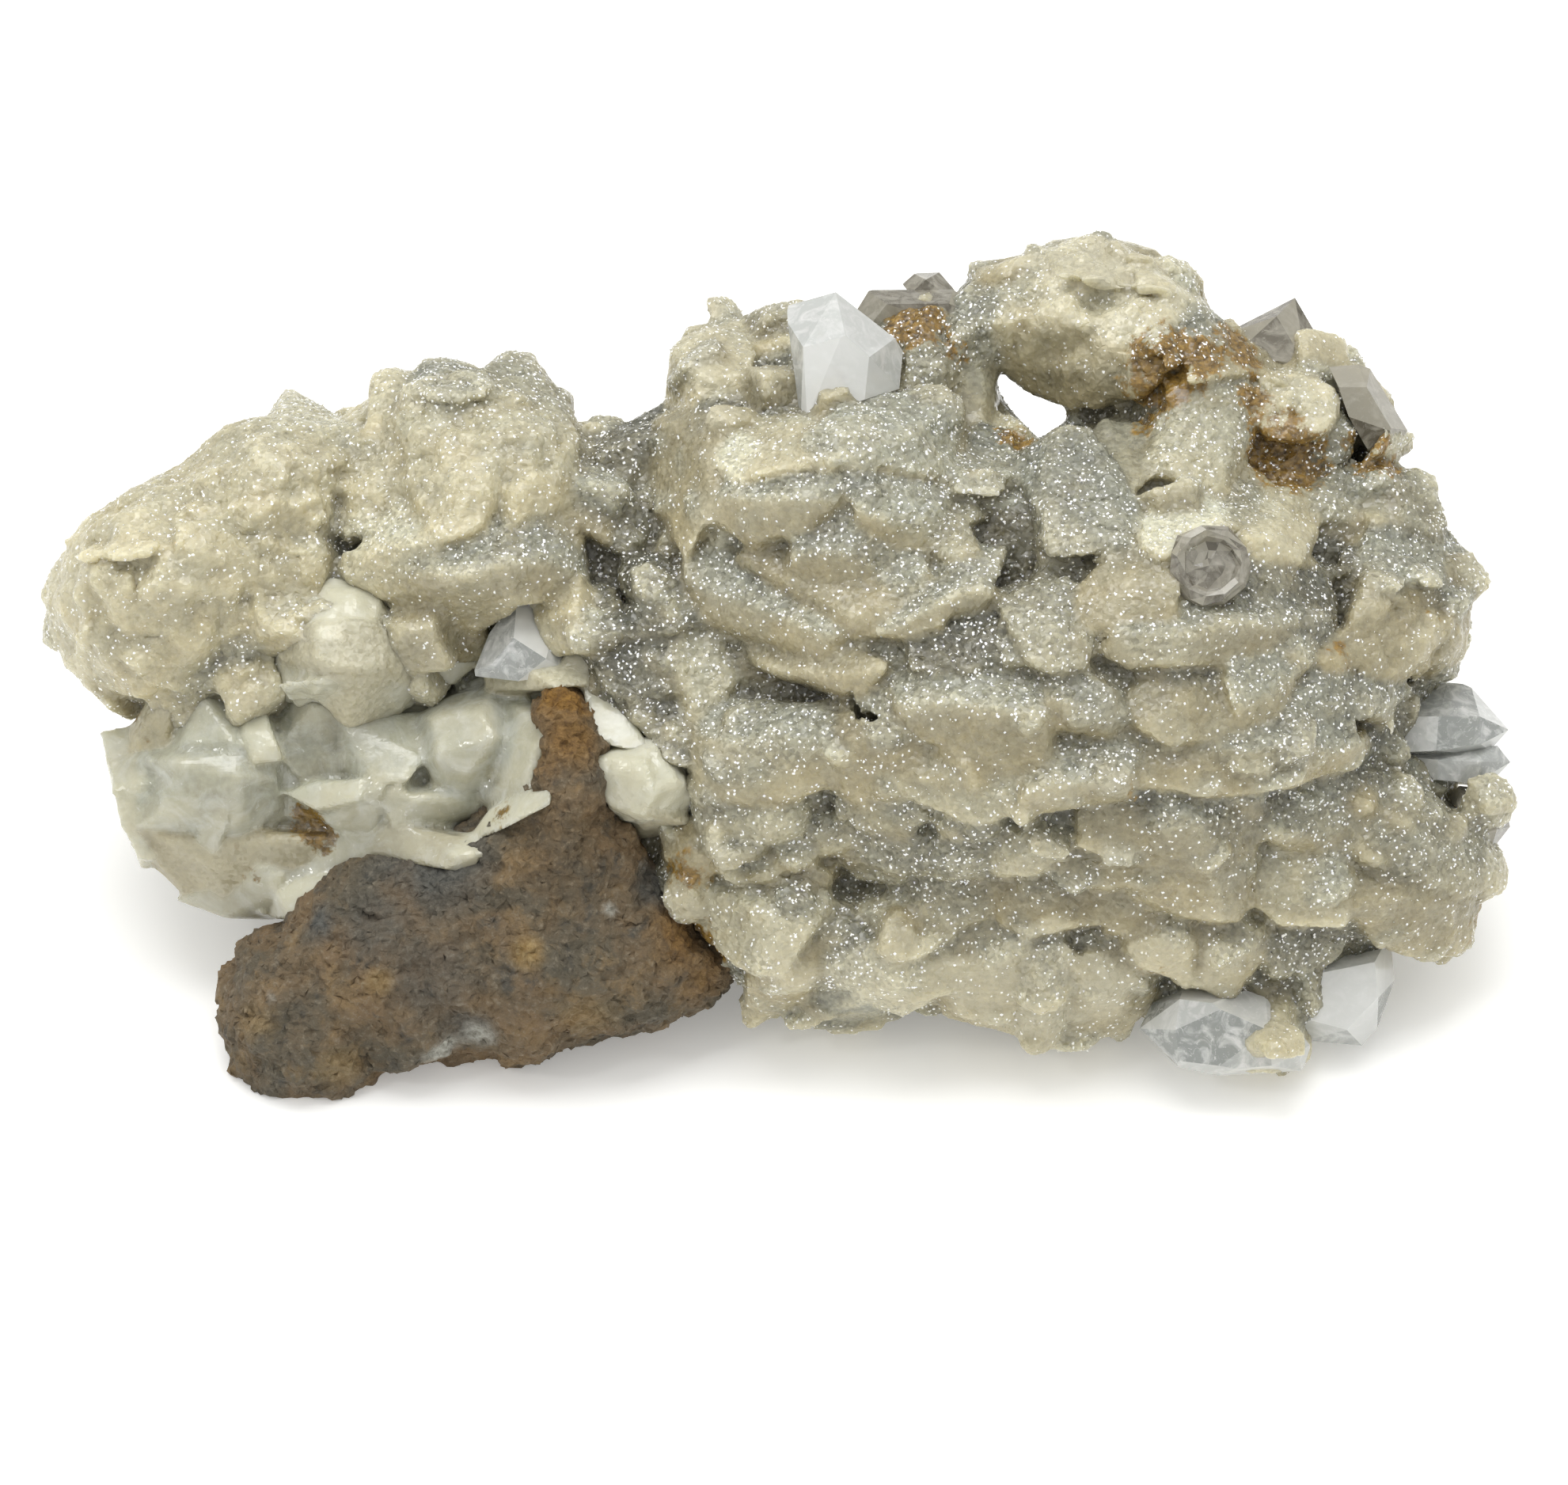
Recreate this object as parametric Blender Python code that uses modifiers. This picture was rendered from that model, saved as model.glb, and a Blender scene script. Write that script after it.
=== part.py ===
"""Quartz with siderite: a cabinet specimen of druse-coated quartz grown on brown siderite rock.

Lengths are in millimetres and become metres where a mesh is made. Places are given as the front
view shows them: across to the right, up the picture, and out towards the viewer, who looks down
on the specimen from the front. Lobes of the hidden core are given along the world's axes.
"""
import math

import bmesh
import bpy
from mathutils import Matrix, Vector

OBJECT_NAME = "quartz_with_siderite"

# The driving dimension: the specimen's length in millimetres. All places and sizes below are
# millimetres of a specimen of the drawn length, and follow the real one.
LENGTH = 120.0
DRAWN_LENGTH = 120.0
MM = 0.001 * LENGTH / DRAWN_LENGTH

# The view in which the places are given.
VIEW_ELEVATION = math.radians(40.0)
VIEW_DISTANCE = 700.0
VIEW_CENTER = Vector((0.0, 0.0, 25.0))

# Brings the middle of the whole specimen over the origin.
CENTERING = Vector((-0.13, -2.0, 0.0))

# Clearances: all round a crystal, and what the rock's smoothed socket needs more.
GAP = 0.3
ROCK_SOCKET_EXTRA = 0.4

# Surface detail.
BALL_SUBDIVISIONS = 3
LOBE_STEP = 1.7
SETTLE_FACTOR = 0.5
SETTLE_ROUNDS = 2
CRUST_TRIANGLES = 4600
MATRIX_TRIANGLES = 1500

# A crystal's sides, and the width of its blunt tip beside that of its prism.
CRYSTAL_SIDES = 6
TIP_WIDTH = 0.28

# What is below the floor is taken away by this block.
GROUND_CENTER = (0.0, 0.0, -20.0)
GROUND_SIZE = (400.0, 400.0, 40.0)

ACROSS = Vector((1.0, 0.0, 0.0))
UP = Vector((0.0, math.sin(VIEW_ELEVATION), math.cos(VIEW_ELEVATION)))
TOWARDS = Vector((0.0, -math.cos(VIEW_ELEVATION), math.sin(VIEW_ELEVATION)))

# The druse-coated mass as the front view shows it: place, then radii across, up and towards,
# then the turn in the picture in degrees.
CRUST_LOBES = {
    "left_end": ((-49.6, 7.0, -2.0), (10.8, 7.6, 9.0), 24.0),
    "left_shoulder": ((-41.5, 14.2, -4.0), (8.2, 5.2, 8.0), 25.0),
    "left_under_edge": ((-50.5, 0.5, -3.0), (8.0, 4.2, 8.0), -10.0),
    "left_top_block": ((-26.5, 18.6, -4.0), (8.0, 6.2, 8.0), -4.0),
    "left_top_corner": ((-20.2, 18.2, -3.0), (2.8, 4.4, 5.0), -20.0),
    "left_round_crystal": ((-19.6, 14.5, 1.0), (4.2, 6.0, 6.0), 0.0),
    "left_brow": ((-25.0, 8.6, 1.5), (10.5, 5.4, 7.5), -6.0),
    "left_recess": ((-34.7, 8.5, -3.0), (7.0, 7.0, 7.0), 0.0),
    "left_flank": ((-15.2, 13.8, -2.0), (3.6, 6.0, 6.0), 0.0),
    "center_rosette": ((4.0, 12.6, 1.0), (13.2, 10.6, 12.0), 0.0),
    "center_left_block": ((-5.2, 18.4, -3.0), (4.2, 8.4, 9.0), 0.0),
    "center_back_block": ((2.5, 24.0, -7.0), (7.0, 6.0, 7.0), 0.0),
    "arch_left_pier": ((11.0, 25.0, -6.0), (5.6, 6.4, 7.0), 0.0),
    "arch_crystal": ((25.4, 28.7, -6.0), (9.6, 5.6, 6.4), -3.0),
    "arch_crystal_left": ((18.8, 28.4, -6.0), (4.4, 4.2, 5.4), 0.0),
    "arch_right_pier": ((33.4, 21.5, -4.0), (6.4, 7.6, 8.0), 0.0),
    "upper_right_bank": ((42.6, 18.2, -6.8), (8.0, 6.8, 9.0), -20.0),
    "right_shoulder": ((49.6, 11.5, -3.0), (4.2, 4.0, 6.4), 0.0),
    "right_round_crystal": ((50.6, 4.4, 0.0), (5.6, 5.4, 7.2), 0.0),
    "right_rosette": ((31.4, 5.0, 7.0), (13.2, 8.8, 9.4), 0.0),
    "right_edge": ((52.6, -14.4, -2.0), (6.0, 4.8, 8.0), 0.0),
    "right_lower_edge": ((51.4, -16.6, -2.0), (6.4, 5.8, 8.0), 20.0),
    "foot_collar": ((36.6, -24.4, 0.0), (9.0, 4.4, 6.4), 0.0),
    "right_foot_collar": ((45.0, -20.6, -3.0), (6.6, 4.8, 6.6), 0.0),
    "lower_right_scales": ((44.0, -18.0, 0.5), (9.0, 5.6, 8.0), 8.0),
    "lower_middle_scales": ((33.0, -20.6, 2.5), (9.6, 5.8, 8.0), 0.0),
    "lower_scales": ((21.5, -22.2, 2.5), (9.6, 6.8, 8.0), -8.0),
    "lower_left_scales": ((10.0, -22.8, 2.5), (8.6, 5.2, 8.0), 0.0),
    "left_carpet_edge": ((0.6, -21.6, 2.0), (6.4, 6.0, 8.0), 0.0),
    "carpet_above_rock": ((-2.0, -9.0, 3.0), (7.4, 8.0, 9.0), 0.0),
    "tan_transition": ((-7.4, -17.2, 0.6), (4.4, 6.2, 7.4), 0.0),
}

# The core behind the lobes: centre and radii along the world's axes.
CRUST_CORE = {
    "right_core": ((23.0, 3.0, 22.0), (31.0, 24.0, 20.0)),
    "right_back": ((27.0, 12.0, 17.5), (27.0, 17.5, 17.0)),
    "middle_core": ((-10.0, 7.0, 21.5), (14.0, 17.0, 15.5)),
    "left_core": ((-34.0, 12.0, 25.0), (20.0, 16.0, 12.6)),
}

# The brown rock as the front view shows it, and the rock beneath and behind.
MATRIX_LOBES = {
    "rock_foot": ((-38.4, -28.0, -0.6), (7.6, 7.4, 8.0), 0.0),
    "rock_left": ((-31.0, -24.2, 0.0), (10.5, 9.0, 9.0), 0.0),
    "rock_middle": ((-23.0, -22.0, 1.0), (11.0, 9.8, 9.4), 0.0),
    "rock_right": ((-14.6, -23.0, 1.0), (9.6, 7.4, 8.6), 0.0),
    "rock_right_end": ((-8.0, -24.4, 1.0), (5.2, 3.4, 6.0), 12.0),
    "rock_rise": ((-18.6, -15.6, 3.0), (6.6, 7.6, 8.4), 0.0),
    "rock_tongue": ((-17.4, -8.4, 6.0), (3.4, 7.6, 7.0), 6.0),
}
MATRIX_CORE = {
    "base_left": ((-16.0, 9.0, 8.0), (32.0, 19.0, 9.0)),
    "base_right": ((22.0, 9.0, 7.0), (28.0, 18.0, 7.6)),
}

# The hollow under the crust between the feet, and the open arch that light passes through.
UNDERSIDE_HOLLOW = ((8.0, -14.0, -5.0), (34.0, 16.0, 9.6))
ARCH_OUTLINE = ((18.0, 24.6), (23.4, 21.5), (23.6, 20.5), (21.2, 18.7), (18.3, 21.3), (17.4, 23.2))
ARCH_NEAR = 30.0
ARCH_FAR = -55.0

# Bare broken quartz on the left: place, direction of the axis in view terms, half length, radius.
BLOCK_POINT = 2.0
BLOCK_ROLL = 12.0
BROKEN_BLOCKS = {
    "left_window_block": ((-45.6, -8.6, -3.0), (0.9, 0.25, 0.1), 8.6, 6.6),
    "left_keel": ((-45.0, -14.6, -3.0), (0.9, -0.5, 0.1), 7.6, 4.6),
    "middle_block": ((-34.4, -10.4, -2.0), (0.8, -0.1, 0.3), 8.0, 6.4),
    "dark_block": ((-33.0, -15.6, -3.0), (0.95, 0.2, 0.0), 7.6, 4.4),
    "right_block": ((-24.6, -6.6, -1.0), (0.9, 0.2, 0.1), 9.6, 6.4),
    "right_shard": ((-15.6, -3.0, -2.0), (0.7, -0.6, 0.1), 6.0, 4.8),
}

# Single crystals: foot of the axis, its direction in view terms, length of the prism, radius,
# length of the point, roll in degrees.
SINGLE_CRYSTALS = {
    "clear_crystal_center": ((4.9, 21.0, -1.0), (0.02, 0.9, 0.43), 7.0, 4.7, 3.0, 15.0),
    "clear_crystal_left": ((-21.2, 0.0, 1.6), (0.02, 0.86, 0.5), 4.0, 3.6, 3.4, 0.0),
    "pale_crystal_left": ((-38.6, 2.2, -3.0), (0.5, -0.2, 0.84), 9.4, 5.6, 1.8, 10.0),
    "milky_quartz_chunk": ((-11.4, -9.2, 0.4), (0.06, 0.06, 0.99), 8.8, 3.8, 1.4, 20.0),
    "clear_points_right": ((48.2, -4.8, -2.6), (0.99, -0.06, -0.08), 7.6, 4.4, 4.0, 30.0),
    "smoky_point_right": ((49.6, -12.4, -3.0), (0.98, -0.04, 0.1), 7.6, 2.8, 2.6, 0.0),
    "foot_crystal_center": ((29.8, -29.8, 2.4), (0.99, -0.08, 0.04), 10.2, 3.8, 2.6, 20.0),
    "foot_crystal_right": ((43.6, -25.8, -2.2), (0.9, -0.3, 0.2), 4.2, 4.1, 2.6, 0.0),
    "smoky_crystal_arch": ((11.4, 24.6, -7.6), (0.04, 0.98, 0.1), 5.4, 4.0, 2.8, 30.0),
    "smoky_crystal_peak": ((39.6, 20.4, -8.6), (0.2, 0.97, 0.1), 5.2, 4.2, 5.0, 0.0),
    "smoky_crystal_shoulder": ((45.6, 18.0, -2.6), (0.84, 0.4, 0.1), 2.8, 4.0, 3.0, 0.0),
    "smoky_window_crystal": ((34.4, 6.6, 8.4), (0.04, 0.3, 0.94), 6.6, 3.3, 1.0, 10.0),
}

# Colour, roughness and how much light passes.
MATERIALS = {
    "siderite_rock": ((0.16, 0.095, 0.045), 0.9, 0.0),
    "druse_coat": ((0.56, 0.53, 0.4), 0.55, 0.0),
    "bare_quartz": ((0.62, 0.64, 0.58), 0.22, 0.35),
    "milky_quartz": ((0.78, 0.77, 0.7), 0.4, 0.1),
    "clear_quartz": ((0.86, 0.88, 0.86), 0.12, 0.6),
    "smoky_quartz": ((0.34, 0.31, 0.25), 0.15, 0.5),
}
CRYSTAL_MATERIALS = {
    "clear_crystal_center": "clear_quartz",
    "clear_crystal_left": "clear_quartz",
    "pale_crystal_left": "milky_quartz",
    "milky_quartz_chunk": "milky_quartz",
    "clear_points_right": "clear_quartz",
    "smoky_point_right": "smoky_quartz",
    "foot_crystal_center": "clear_quartz",
    "foot_crystal_right": "clear_quartz",
    "smoky_crystal_arch": "smoky_quartz",
    "smoky_crystal_peak": "smoky_quartz",
    "smoky_crystal_shoulder": "smoky_quartz",
    "smoky_window_crystal": "smoky_quartz",
}


def clear_scene():
    for obj in list(bpy.data.objects):
        bpy.data.objects.remove(obj, do_unlink=True)


def new_collection(name):
    collection = bpy.data.collections.new(name)
    bpy.context.scene.collection.children.link(collection)
    return collection


def make_material(name):
    color, roughness, transmission = MATERIALS[name]
    material = bpy.data.materials.new(name)
    material.use_nodes = True
    shader = material.node_tree.nodes["Principled BSDF"]
    shader.inputs["Base Color"].default_value = (*color, 1.0)
    shader.inputs["Roughness"].default_value = roughness
    shader.inputs["Metallic"].default_value = 0.0
    shader.inputs["Transmission Weight"].default_value = transmission
    material.diffuse_color = (*color, 1.0)
    return material


def direction(vector):
    """A direction in view terms, along the world's axes."""
    across, up, towards = vector
    return (ACROSS * across + UP * up + TOWARDS * towards).normalized()


def seen(place):
    """A place in view terms, in the world's millimetres. What is nearer looks larger, so is drawn in."""
    across, up, towards = place
    nearer = (VIEW_DISTANCE - towards) / VIEW_DISTANCE
    offset = ACROSS * (across * nearer) + UP * (up * nearer) + TOWARDS * towards
    return VIEW_CENTER + CENTERING + offset


def view_turn(degrees):
    """The view's axes as a rotation, turned in the picture."""
    axes = Matrix((ACROSS, UP, TOWARDS)).transposed()
    return axes @ Matrix.Rotation(math.radians(degrees), 3, "Z")


def add_ellipsoid(bm, center, radii, turn):
    size = Matrix.Diagonal(Vector(radii)).to_4x4()
    place = Matrix.Translation(center) @ turn.to_4x4() @ size
    bmesh.ops.create_icosphere(bm, subdivisions=BALL_SUBDIVISIONS, radius=1.0,
                               matrix=Matrix.Scale(MM, 4) @ place)


def add_lobes(bm, lobes, core, grow):
    """Every lobe of a mass as a closed ball, each radius made larger by grow."""
    for place, radii, degrees in lobes.values():
        add_ellipsoid(bm, seen(place), [r + grow for r in radii], view_turn(degrees))
    for center, radii in core.values():
        add_ellipsoid(bm, Vector(center) + CENTERING, [r + grow for r in radii], Matrix.Identity(3))


def axis_frame(axis, degrees):
    """A rotation whose Z lies along axis, rolled about it."""
    return axis.to_track_quat("Z", "Y").to_matrix() @ Matrix.Rotation(math.radians(degrees), 3, "Z")


def add_hexagonal(bm, foot, axis, length, radius, point, degrees, grow):
    """A six-sided quartz crystal: a prism and a blunt six-sided point, made as one hull."""
    turn = axis_frame(axis, degrees)
    wide = radius + grow / math.cos(math.pi / CRYSTAL_SIDES)
    rings = ((-grow, wide), (length, wide), (length + point + grow, TIP_WIDTH * wide))
    start = len(bm.verts)
    for height, ring_radius in rings:
        for side in range(CRYSTAL_SIDES):
            angle = side * math.tau / CRYSTAL_SIDES
            local = Vector((ring_radius * math.cos(angle), ring_radius * math.sin(angle), height))
            bm.verts.new((foot + turn @ local) * MM)
    bm.verts.ensure_lookup_table()
    bmesh.ops.convex_hull(bm, input=bm.verts[start:])


def new_object(name, bm, collection):
    bmesh.ops.recalc_face_normals(bm, faces=bm.faces)
    mesh = bpy.data.meshes.new(name)
    bm.to_mesh(mesh)
    bm.free()
    obj = bpy.data.objects.new(name, mesh)
    collection.objects.link(obj)
    return obj


def fused(obj, triangles):
    """One closed skin round all the balls of a mass, brought down to about so many triangles."""
    remesh = obj.modifiers.new("skin", "REMESH")
    remesh.mode = "VOXEL"
    remesh.voxel_size = LOBE_STEP * MM
    settle = obj.modifiers.new("settle", "SMOOTH")
    settle.factor = SETTLE_FACTOR
    settle.iterations = SETTLE_ROUNDS
    apply_modifiers(obj)
    thin = obj.modifiers.new("thin", "DECIMATE")
    thin.ratio = min(1.0, triangles / (2.0 * len(obj.data.polygons)))
    apply_modifiers(obj)


def apply_modifiers(obj):
    bpy.context.view_layer.update()
    graph = bpy.context.evaluated_depsgraph_get()
    mesh = bpy.data.meshes.new_from_object(obj.evaluated_get(graph))
    obj.modifiers.clear()
    obj.data = mesh


def cut(obj, cutter):
    """Take the cutter's space out of the piece."""
    knife = obj.modifiers.new("cut_" + cutter.name, "BOOLEAN")
    knife.operation = "DIFFERENCE"
    knife.solver = "EXACT"
    knife.object = cutter
    apply_modifiers(obj)
    keep_largest(obj)


def keep_largest(obj):
    """Drop the crumbs that a cut leaves."""
    bm = bmesh.new()
    bm.from_mesh(obj.data)
    groups = []
    unseen = set(bm.verts)
    while unseen:
        stack = [unseen.pop()]
        group = set(stack)
        while stack:
            for edge in stack.pop().link_edges:
                for vert in edge.verts:
                    if vert in unseen:
                        unseen.discard(vert)
                        group.add(vert)
                        stack.append(vert)
        groups.append(group)
    largest = max(groups, key=len)
    loose = [vert for vert in bm.verts if vert not in largest]
    bmesh.ops.delete(bm, geom=loose, context="VERTS")
    bm.to_mesh(obj.data)
    bm.free()


def as_cutter(obj):
    obj.hide_render = True
    obj.display_type = "WIRE"
    return obj


def lobe_mass(name, lobes, core, grow, triangles, collection):
    bm = bmesh.new()
    add_lobes(bm, lobes, core, grow)
    obj = new_object(name, bm, collection)
    fused(obj, triangles)
    return obj


def single_crystal(name, grow, collection, suffix=""):
    foot, axis, length, radius, point, degrees = SINGLE_CRYSTALS[name]
    bm = bmesh.new()
    add_hexagonal(bm, seen(foot), direction(axis), length, radius, point, degrees, grow)
    return new_object(name + suffix, bm, collection)


def broken_quartz(grow, collection, name):
    """Blocks of bare quartz broken along the vein, grown together in one piece."""
    blocks = []
    for block_name, (place, axis, half, radius) in BROKEN_BLOCKS.items():
        line = direction(axis)
        prism = 2.0 * half - BLOCK_POINT
        bm = bmesh.new()
        add_hexagonal(bm, seen(place) - line * half, line, prism, radius, BLOCK_POINT, BLOCK_ROLL, grow)
        blocks.append(new_object(name + "_" + block_name, bm, collection))
    whole = blocks[0]
    for block in blocks[1:]:
        join = whole.modifiers.new("join", "BOOLEAN")
        join.operation = "UNION"
        join.solver = "EXACT"
        join.object = block
        apply_modifiers(whole)
        bpy.data.objects.remove(block, do_unlink=True)
    whole.name = name
    keep_largest(whole)
    return whole


def ground_cutter(collection):
    bm = bmesh.new()
    bmesh.ops.create_cube(bm, size=1.0)
    bmesh.ops.scale(bm, vec=Vector(GROUND_SIZE) * MM, verts=bm.verts)
    bmesh.ops.translate(bm, vec=Vector(GROUND_CENTER) * MM, verts=bm.verts)
    return as_cutter(new_object("ground", bm, collection))


def arch_cutter(collection):
    """The open arch, drawn in the picture and run along the line of sight."""
    bm = bmesh.new()
    for towards in (ARCH_NEAR, ARCH_FAR):
        for across, up in ARCH_OUTLINE:
            bm.verts.new(seen((across, up, towards)) * MM)
    bmesh.ops.convex_hull(bm, input=bm.verts)
    return as_cutter(new_object("open_arch", bm, collection))


def hollow_cutter(collection):
    center, radii = UNDERSIDE_HOLLOW
    bm = bmesh.new()
    add_ellipsoid(bm, Vector(center) + CENTERING, radii, Matrix.Identity(3))
    return as_cutter(new_object("underside_hollow", bm, collection))


def build():
    clear_scene()
    parts = new_collection(OBJECT_NAME)
    cutters = new_collection("cutters")
    materials = {name: make_material(name) for name in MATERIALS}

    ground = ground_cutter(cutters)
    sockets = [as_cutter(single_crystal(name, GAP, cutters, "_socket")) for name in SINGLE_CRYSTALS]
    quartz_socket = as_cutter(broken_quartz(GAP, cutters, "broken_quartz_socket"))
    rock_socket = as_cutter(lobe_mass("rock_socket", MATRIX_LOBES, MATRIX_CORE,
                                      GAP + ROCK_SOCKET_EXTRA, MATRIX_TRIANGLES, cutters))

    for name in SINGLE_CRYSTALS:
        crystal = single_crystal(name, 0.0, parts)
        crystal.data.materials.append(materials[CRYSTAL_MATERIALS[name]])
        cut(crystal, ground)

    quartz = broken_quartz(0.0, parts, "broken_quartz_left")
    for socket in sockets:
        cut(quartz, socket)

    rock = lobe_mass("siderite_rock", MATRIX_LOBES, MATRIX_CORE, 0.0, MATRIX_TRIANGLES, parts)
    for cutter in (quartz_socket, *sockets, ground):
        cut(rock, cutter)

    crust = lobe_mass("drusy_quartz_crust", CRUST_LOBES, CRUST_CORE, 0.0, CRUST_TRIANGLES, parts)
    for cutter in (hollow_cutter(cutters), arch_cutter(cutters), rock_socket, quartz_socket,
                   *sockets, ground):
        cut(crust, cutter)

    for obj, slot in ((quartz, "bare_quartz"), (rock, "siderite_rock"), (crust, "druse_coat")):
        obj.data.materials.clear()
        obj.data.materials.append(materials[slot])


build()
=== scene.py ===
"""Quartz with siderite: the looks of the specimen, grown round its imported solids.

Lengths are in millimetres until a mesh is made. A place read from the front view is given in that
picture's pixels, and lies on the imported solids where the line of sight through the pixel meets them.
"""
import math

import bmesh
import bpy
import numpy as np
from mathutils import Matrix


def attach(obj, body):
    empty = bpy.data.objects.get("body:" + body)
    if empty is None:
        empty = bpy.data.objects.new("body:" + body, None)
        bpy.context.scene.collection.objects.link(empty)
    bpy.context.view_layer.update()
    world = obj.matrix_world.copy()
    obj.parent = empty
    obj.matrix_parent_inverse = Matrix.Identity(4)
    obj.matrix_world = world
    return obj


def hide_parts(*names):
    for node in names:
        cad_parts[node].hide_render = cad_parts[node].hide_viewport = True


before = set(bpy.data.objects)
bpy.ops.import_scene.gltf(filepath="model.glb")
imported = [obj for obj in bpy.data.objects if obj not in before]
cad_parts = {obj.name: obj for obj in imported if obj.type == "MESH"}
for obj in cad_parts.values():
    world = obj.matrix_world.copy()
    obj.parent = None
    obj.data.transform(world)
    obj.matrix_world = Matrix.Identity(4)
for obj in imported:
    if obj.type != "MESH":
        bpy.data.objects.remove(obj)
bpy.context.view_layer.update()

import openvdb
from mathutils import Vector
from mathutils.bvhtree import BVHTree
from mathutils.geometry import tessellate_polygon

MM = 0.001

# The front view: its height above the floor's level, its distance, what it looks at, and the
# picture's size, with the pixel that shows that point and the width of a pixel there.
VIEW_ELEVATION = math.radians(40.0)
VIEW_DISTANCE = 700.0
VIEW_TARGET = np.array((-0.13, -2.0, 25.0))
PICTURE_WIDE = 1981
PICTURE_HIGH = 1876
TARGET_PIXEL = (986.0, 845.0)
PIXEL = 0.0648

ACROSS = np.array((1.0, 0.0, 0.0))
UP = np.array((0.0, math.sin(VIEW_ELEVATION), math.cos(VIEW_ELEVATION)))
TOWARDS = np.array((0.0, -math.cos(VIEW_ELEVATION), math.sin(VIEW_ELEVATION)))
EYE = VIEW_TARGET + TOWARDS * VIEW_DISTANCE

# The way that the sparkling faces of the blades look: up and a little to the right.
SKYWARD = np.array((0.22, -0.1, 0.97))

# The grid that the growth is worked out on.
STEP = 0.42
MARGIN = 3.0
FAR = 4.0

# How far the crust's smooth solid is drawn in before crystals grow on it, and the width of the
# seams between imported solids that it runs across.
DRAWN_IN = 1.0
SEAM = 0.35

# How far a lump's sides run back from its front, and the cosine of the angle under which two of its
# faces count as one.
LUMP_DEPTH = 5.0
ALIKE = 0.97

# How much wider than its outline a lump is, so that it runs into its neighbours.
OVERLAP = 0.25

# The most triangles in one piece.
PIECE_TRIANGLES = 180000

# What is known at each place: how warm and how light its colour is, whether the quartz is bare of
# druse, and how iron-stained it is.
TINTS = ("warm", "light", "bare", "iron")

# Finishes: the first three of those, on a crystal's face and on its sides.
FINISHES = {
    "core": ((0.3, 0.1, 0.0), (0.35, 0.08, 0.0)),
    "scale": ((0.2, 0.36, 0.0), (0.75, 0.36, 0.0)),
    "wax": ((0.66, 0.72, 0.0), (0.74, 0.64, 0.0)),
    "cream": ((0.62, 0.72, 0.0), (0.76, 0.62, 0.0)),
    "blush": ((0.4, 0.9, 0.0), (0.6, 0.72, 0.0)),
    "salt": ((0.42, 0.58, 0.0), (0.6, 0.44, 0.0)),
    "frost": ((0.15, 0.44, 0.0), (0.8, 0.4, 0.0)),
    "wedge": ((0.12, 0.46, 0.0), (0.88, 0.4, 0.0)),
    "ledge": ((0.2, 0.36, 0.0), (0.82, 0.36, 0.0)),
    "ash": ((0.35, 0.36, 0.0), (0.6, 0.32, 0.0)),
    "slate": ((0.25, 0.06, 0.0), (0.35, 0.04, 0.0)),
    "plain": ((0.22, 0.4, 0.85), (0.22, 0.36, 0.85)),
    "haze": ((0.5, 0.42, 0.9), (0.55, 0.38, 0.9)),
    "amber": ((0.95, 0.42, 0.3), (0.95, 0.36, 0.3)),
    "pale": ((0.4, 0.66, 0.0), (0.55, 0.54, 0.0)),
    "white": ((0.25, 0.98, 0.0), (0.55, 0.72, 0.0)),
    "grey": ((0.12, 0.28, 0.0), (0.3, 0.25, 0.0)),
    "tan": ((0.8, 0.4, 0.0), (0.88, 0.36, 0.0)),
    "olive": ((0.95, 0.52, 0.1), (0.95, 0.44, 0.1)),
    "dark": ((0.12, 0.14, 0.2), (0.2, 0.14, 0.2)),
    "glass": ((0.05, 0.8, 1.0), (0.05, 0.68, 1.0)),
    "milk": ((0.08, 1.1, 0.8), (0.12, 0.95, 0.8)),
    "dim": ((0.1, 0.5, 1.0), (0.1, 0.45, 1.0)),
    "smoke": ((0.45, 0.42, 1.0), (0.45, 0.36, 1.0)),
}


def nodes_in_mm(names):
    """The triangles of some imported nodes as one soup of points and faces."""
    points = []
    faces = []
    count = 0
    for name in names:
        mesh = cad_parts[name].data
        mesh.calc_loop_triangles()
        own = np.empty(len(mesh.vertices) * 3, np.float32)
        mesh.vertices.foreach_get("co", own)
        corners = np.empty(len(mesh.loop_triangles) * 3, np.int32)
        mesh.loop_triangles.foreach_get("vertices", corners)
        points.append(own.reshape(-1, 3) / MM)
        faces.append(corners.reshape(-1, 3) + count)
        count += len(mesh.vertices)
    return np.concatenate(points), np.concatenate(faces)


NODE_NAMES = sorted(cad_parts)
WHOLE_POINTS, WHOLE_FACES = nodes_in_mm(NODE_NAMES)
SURFACE = BVHTree.FromPolygons([Vector(p) for p in WHOLE_POINTS.astype(float)], WHOLE_FACES.tolist())


def sight(pixel):
    """The direction of the line of sight through a pixel."""
    across = (pixel[0] - TARGET_PIXEL[0]) * PIXEL
    up = (TARGET_PIXEL[1] - pixel[1]) * PIXEL
    line = VIEW_TARGET + ACROSS * across + UP * up - EYE
    return line / np.linalg.norm(line)


def on_surface(pixel, out=0.0):
    """The place where a pixel's line of sight meets the solids, or passes closest to them."""
    line = sight(pixel)
    hit = SURFACE.ray_cast(Vector(EYE), Vector(line))[0]
    if hit is None:
        depths = np.linspace(VIEW_DISTANCE - 55.0, VIEW_DISTANCE + 55.0, 90)
        gaps = [SURFACE.find_nearest(Vector(EYE + line * depth))[3] for depth in depths]
        hit = EYE + line * depths[int(np.argmin(gaps))]
    return np.array(hit) - line * out


def soft_max(a, b, radius):
    near = np.maximum(radius - np.abs(a - b), 0.0) / radius
    return np.maximum(a, b) + near * near * radius * 0.25


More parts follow.
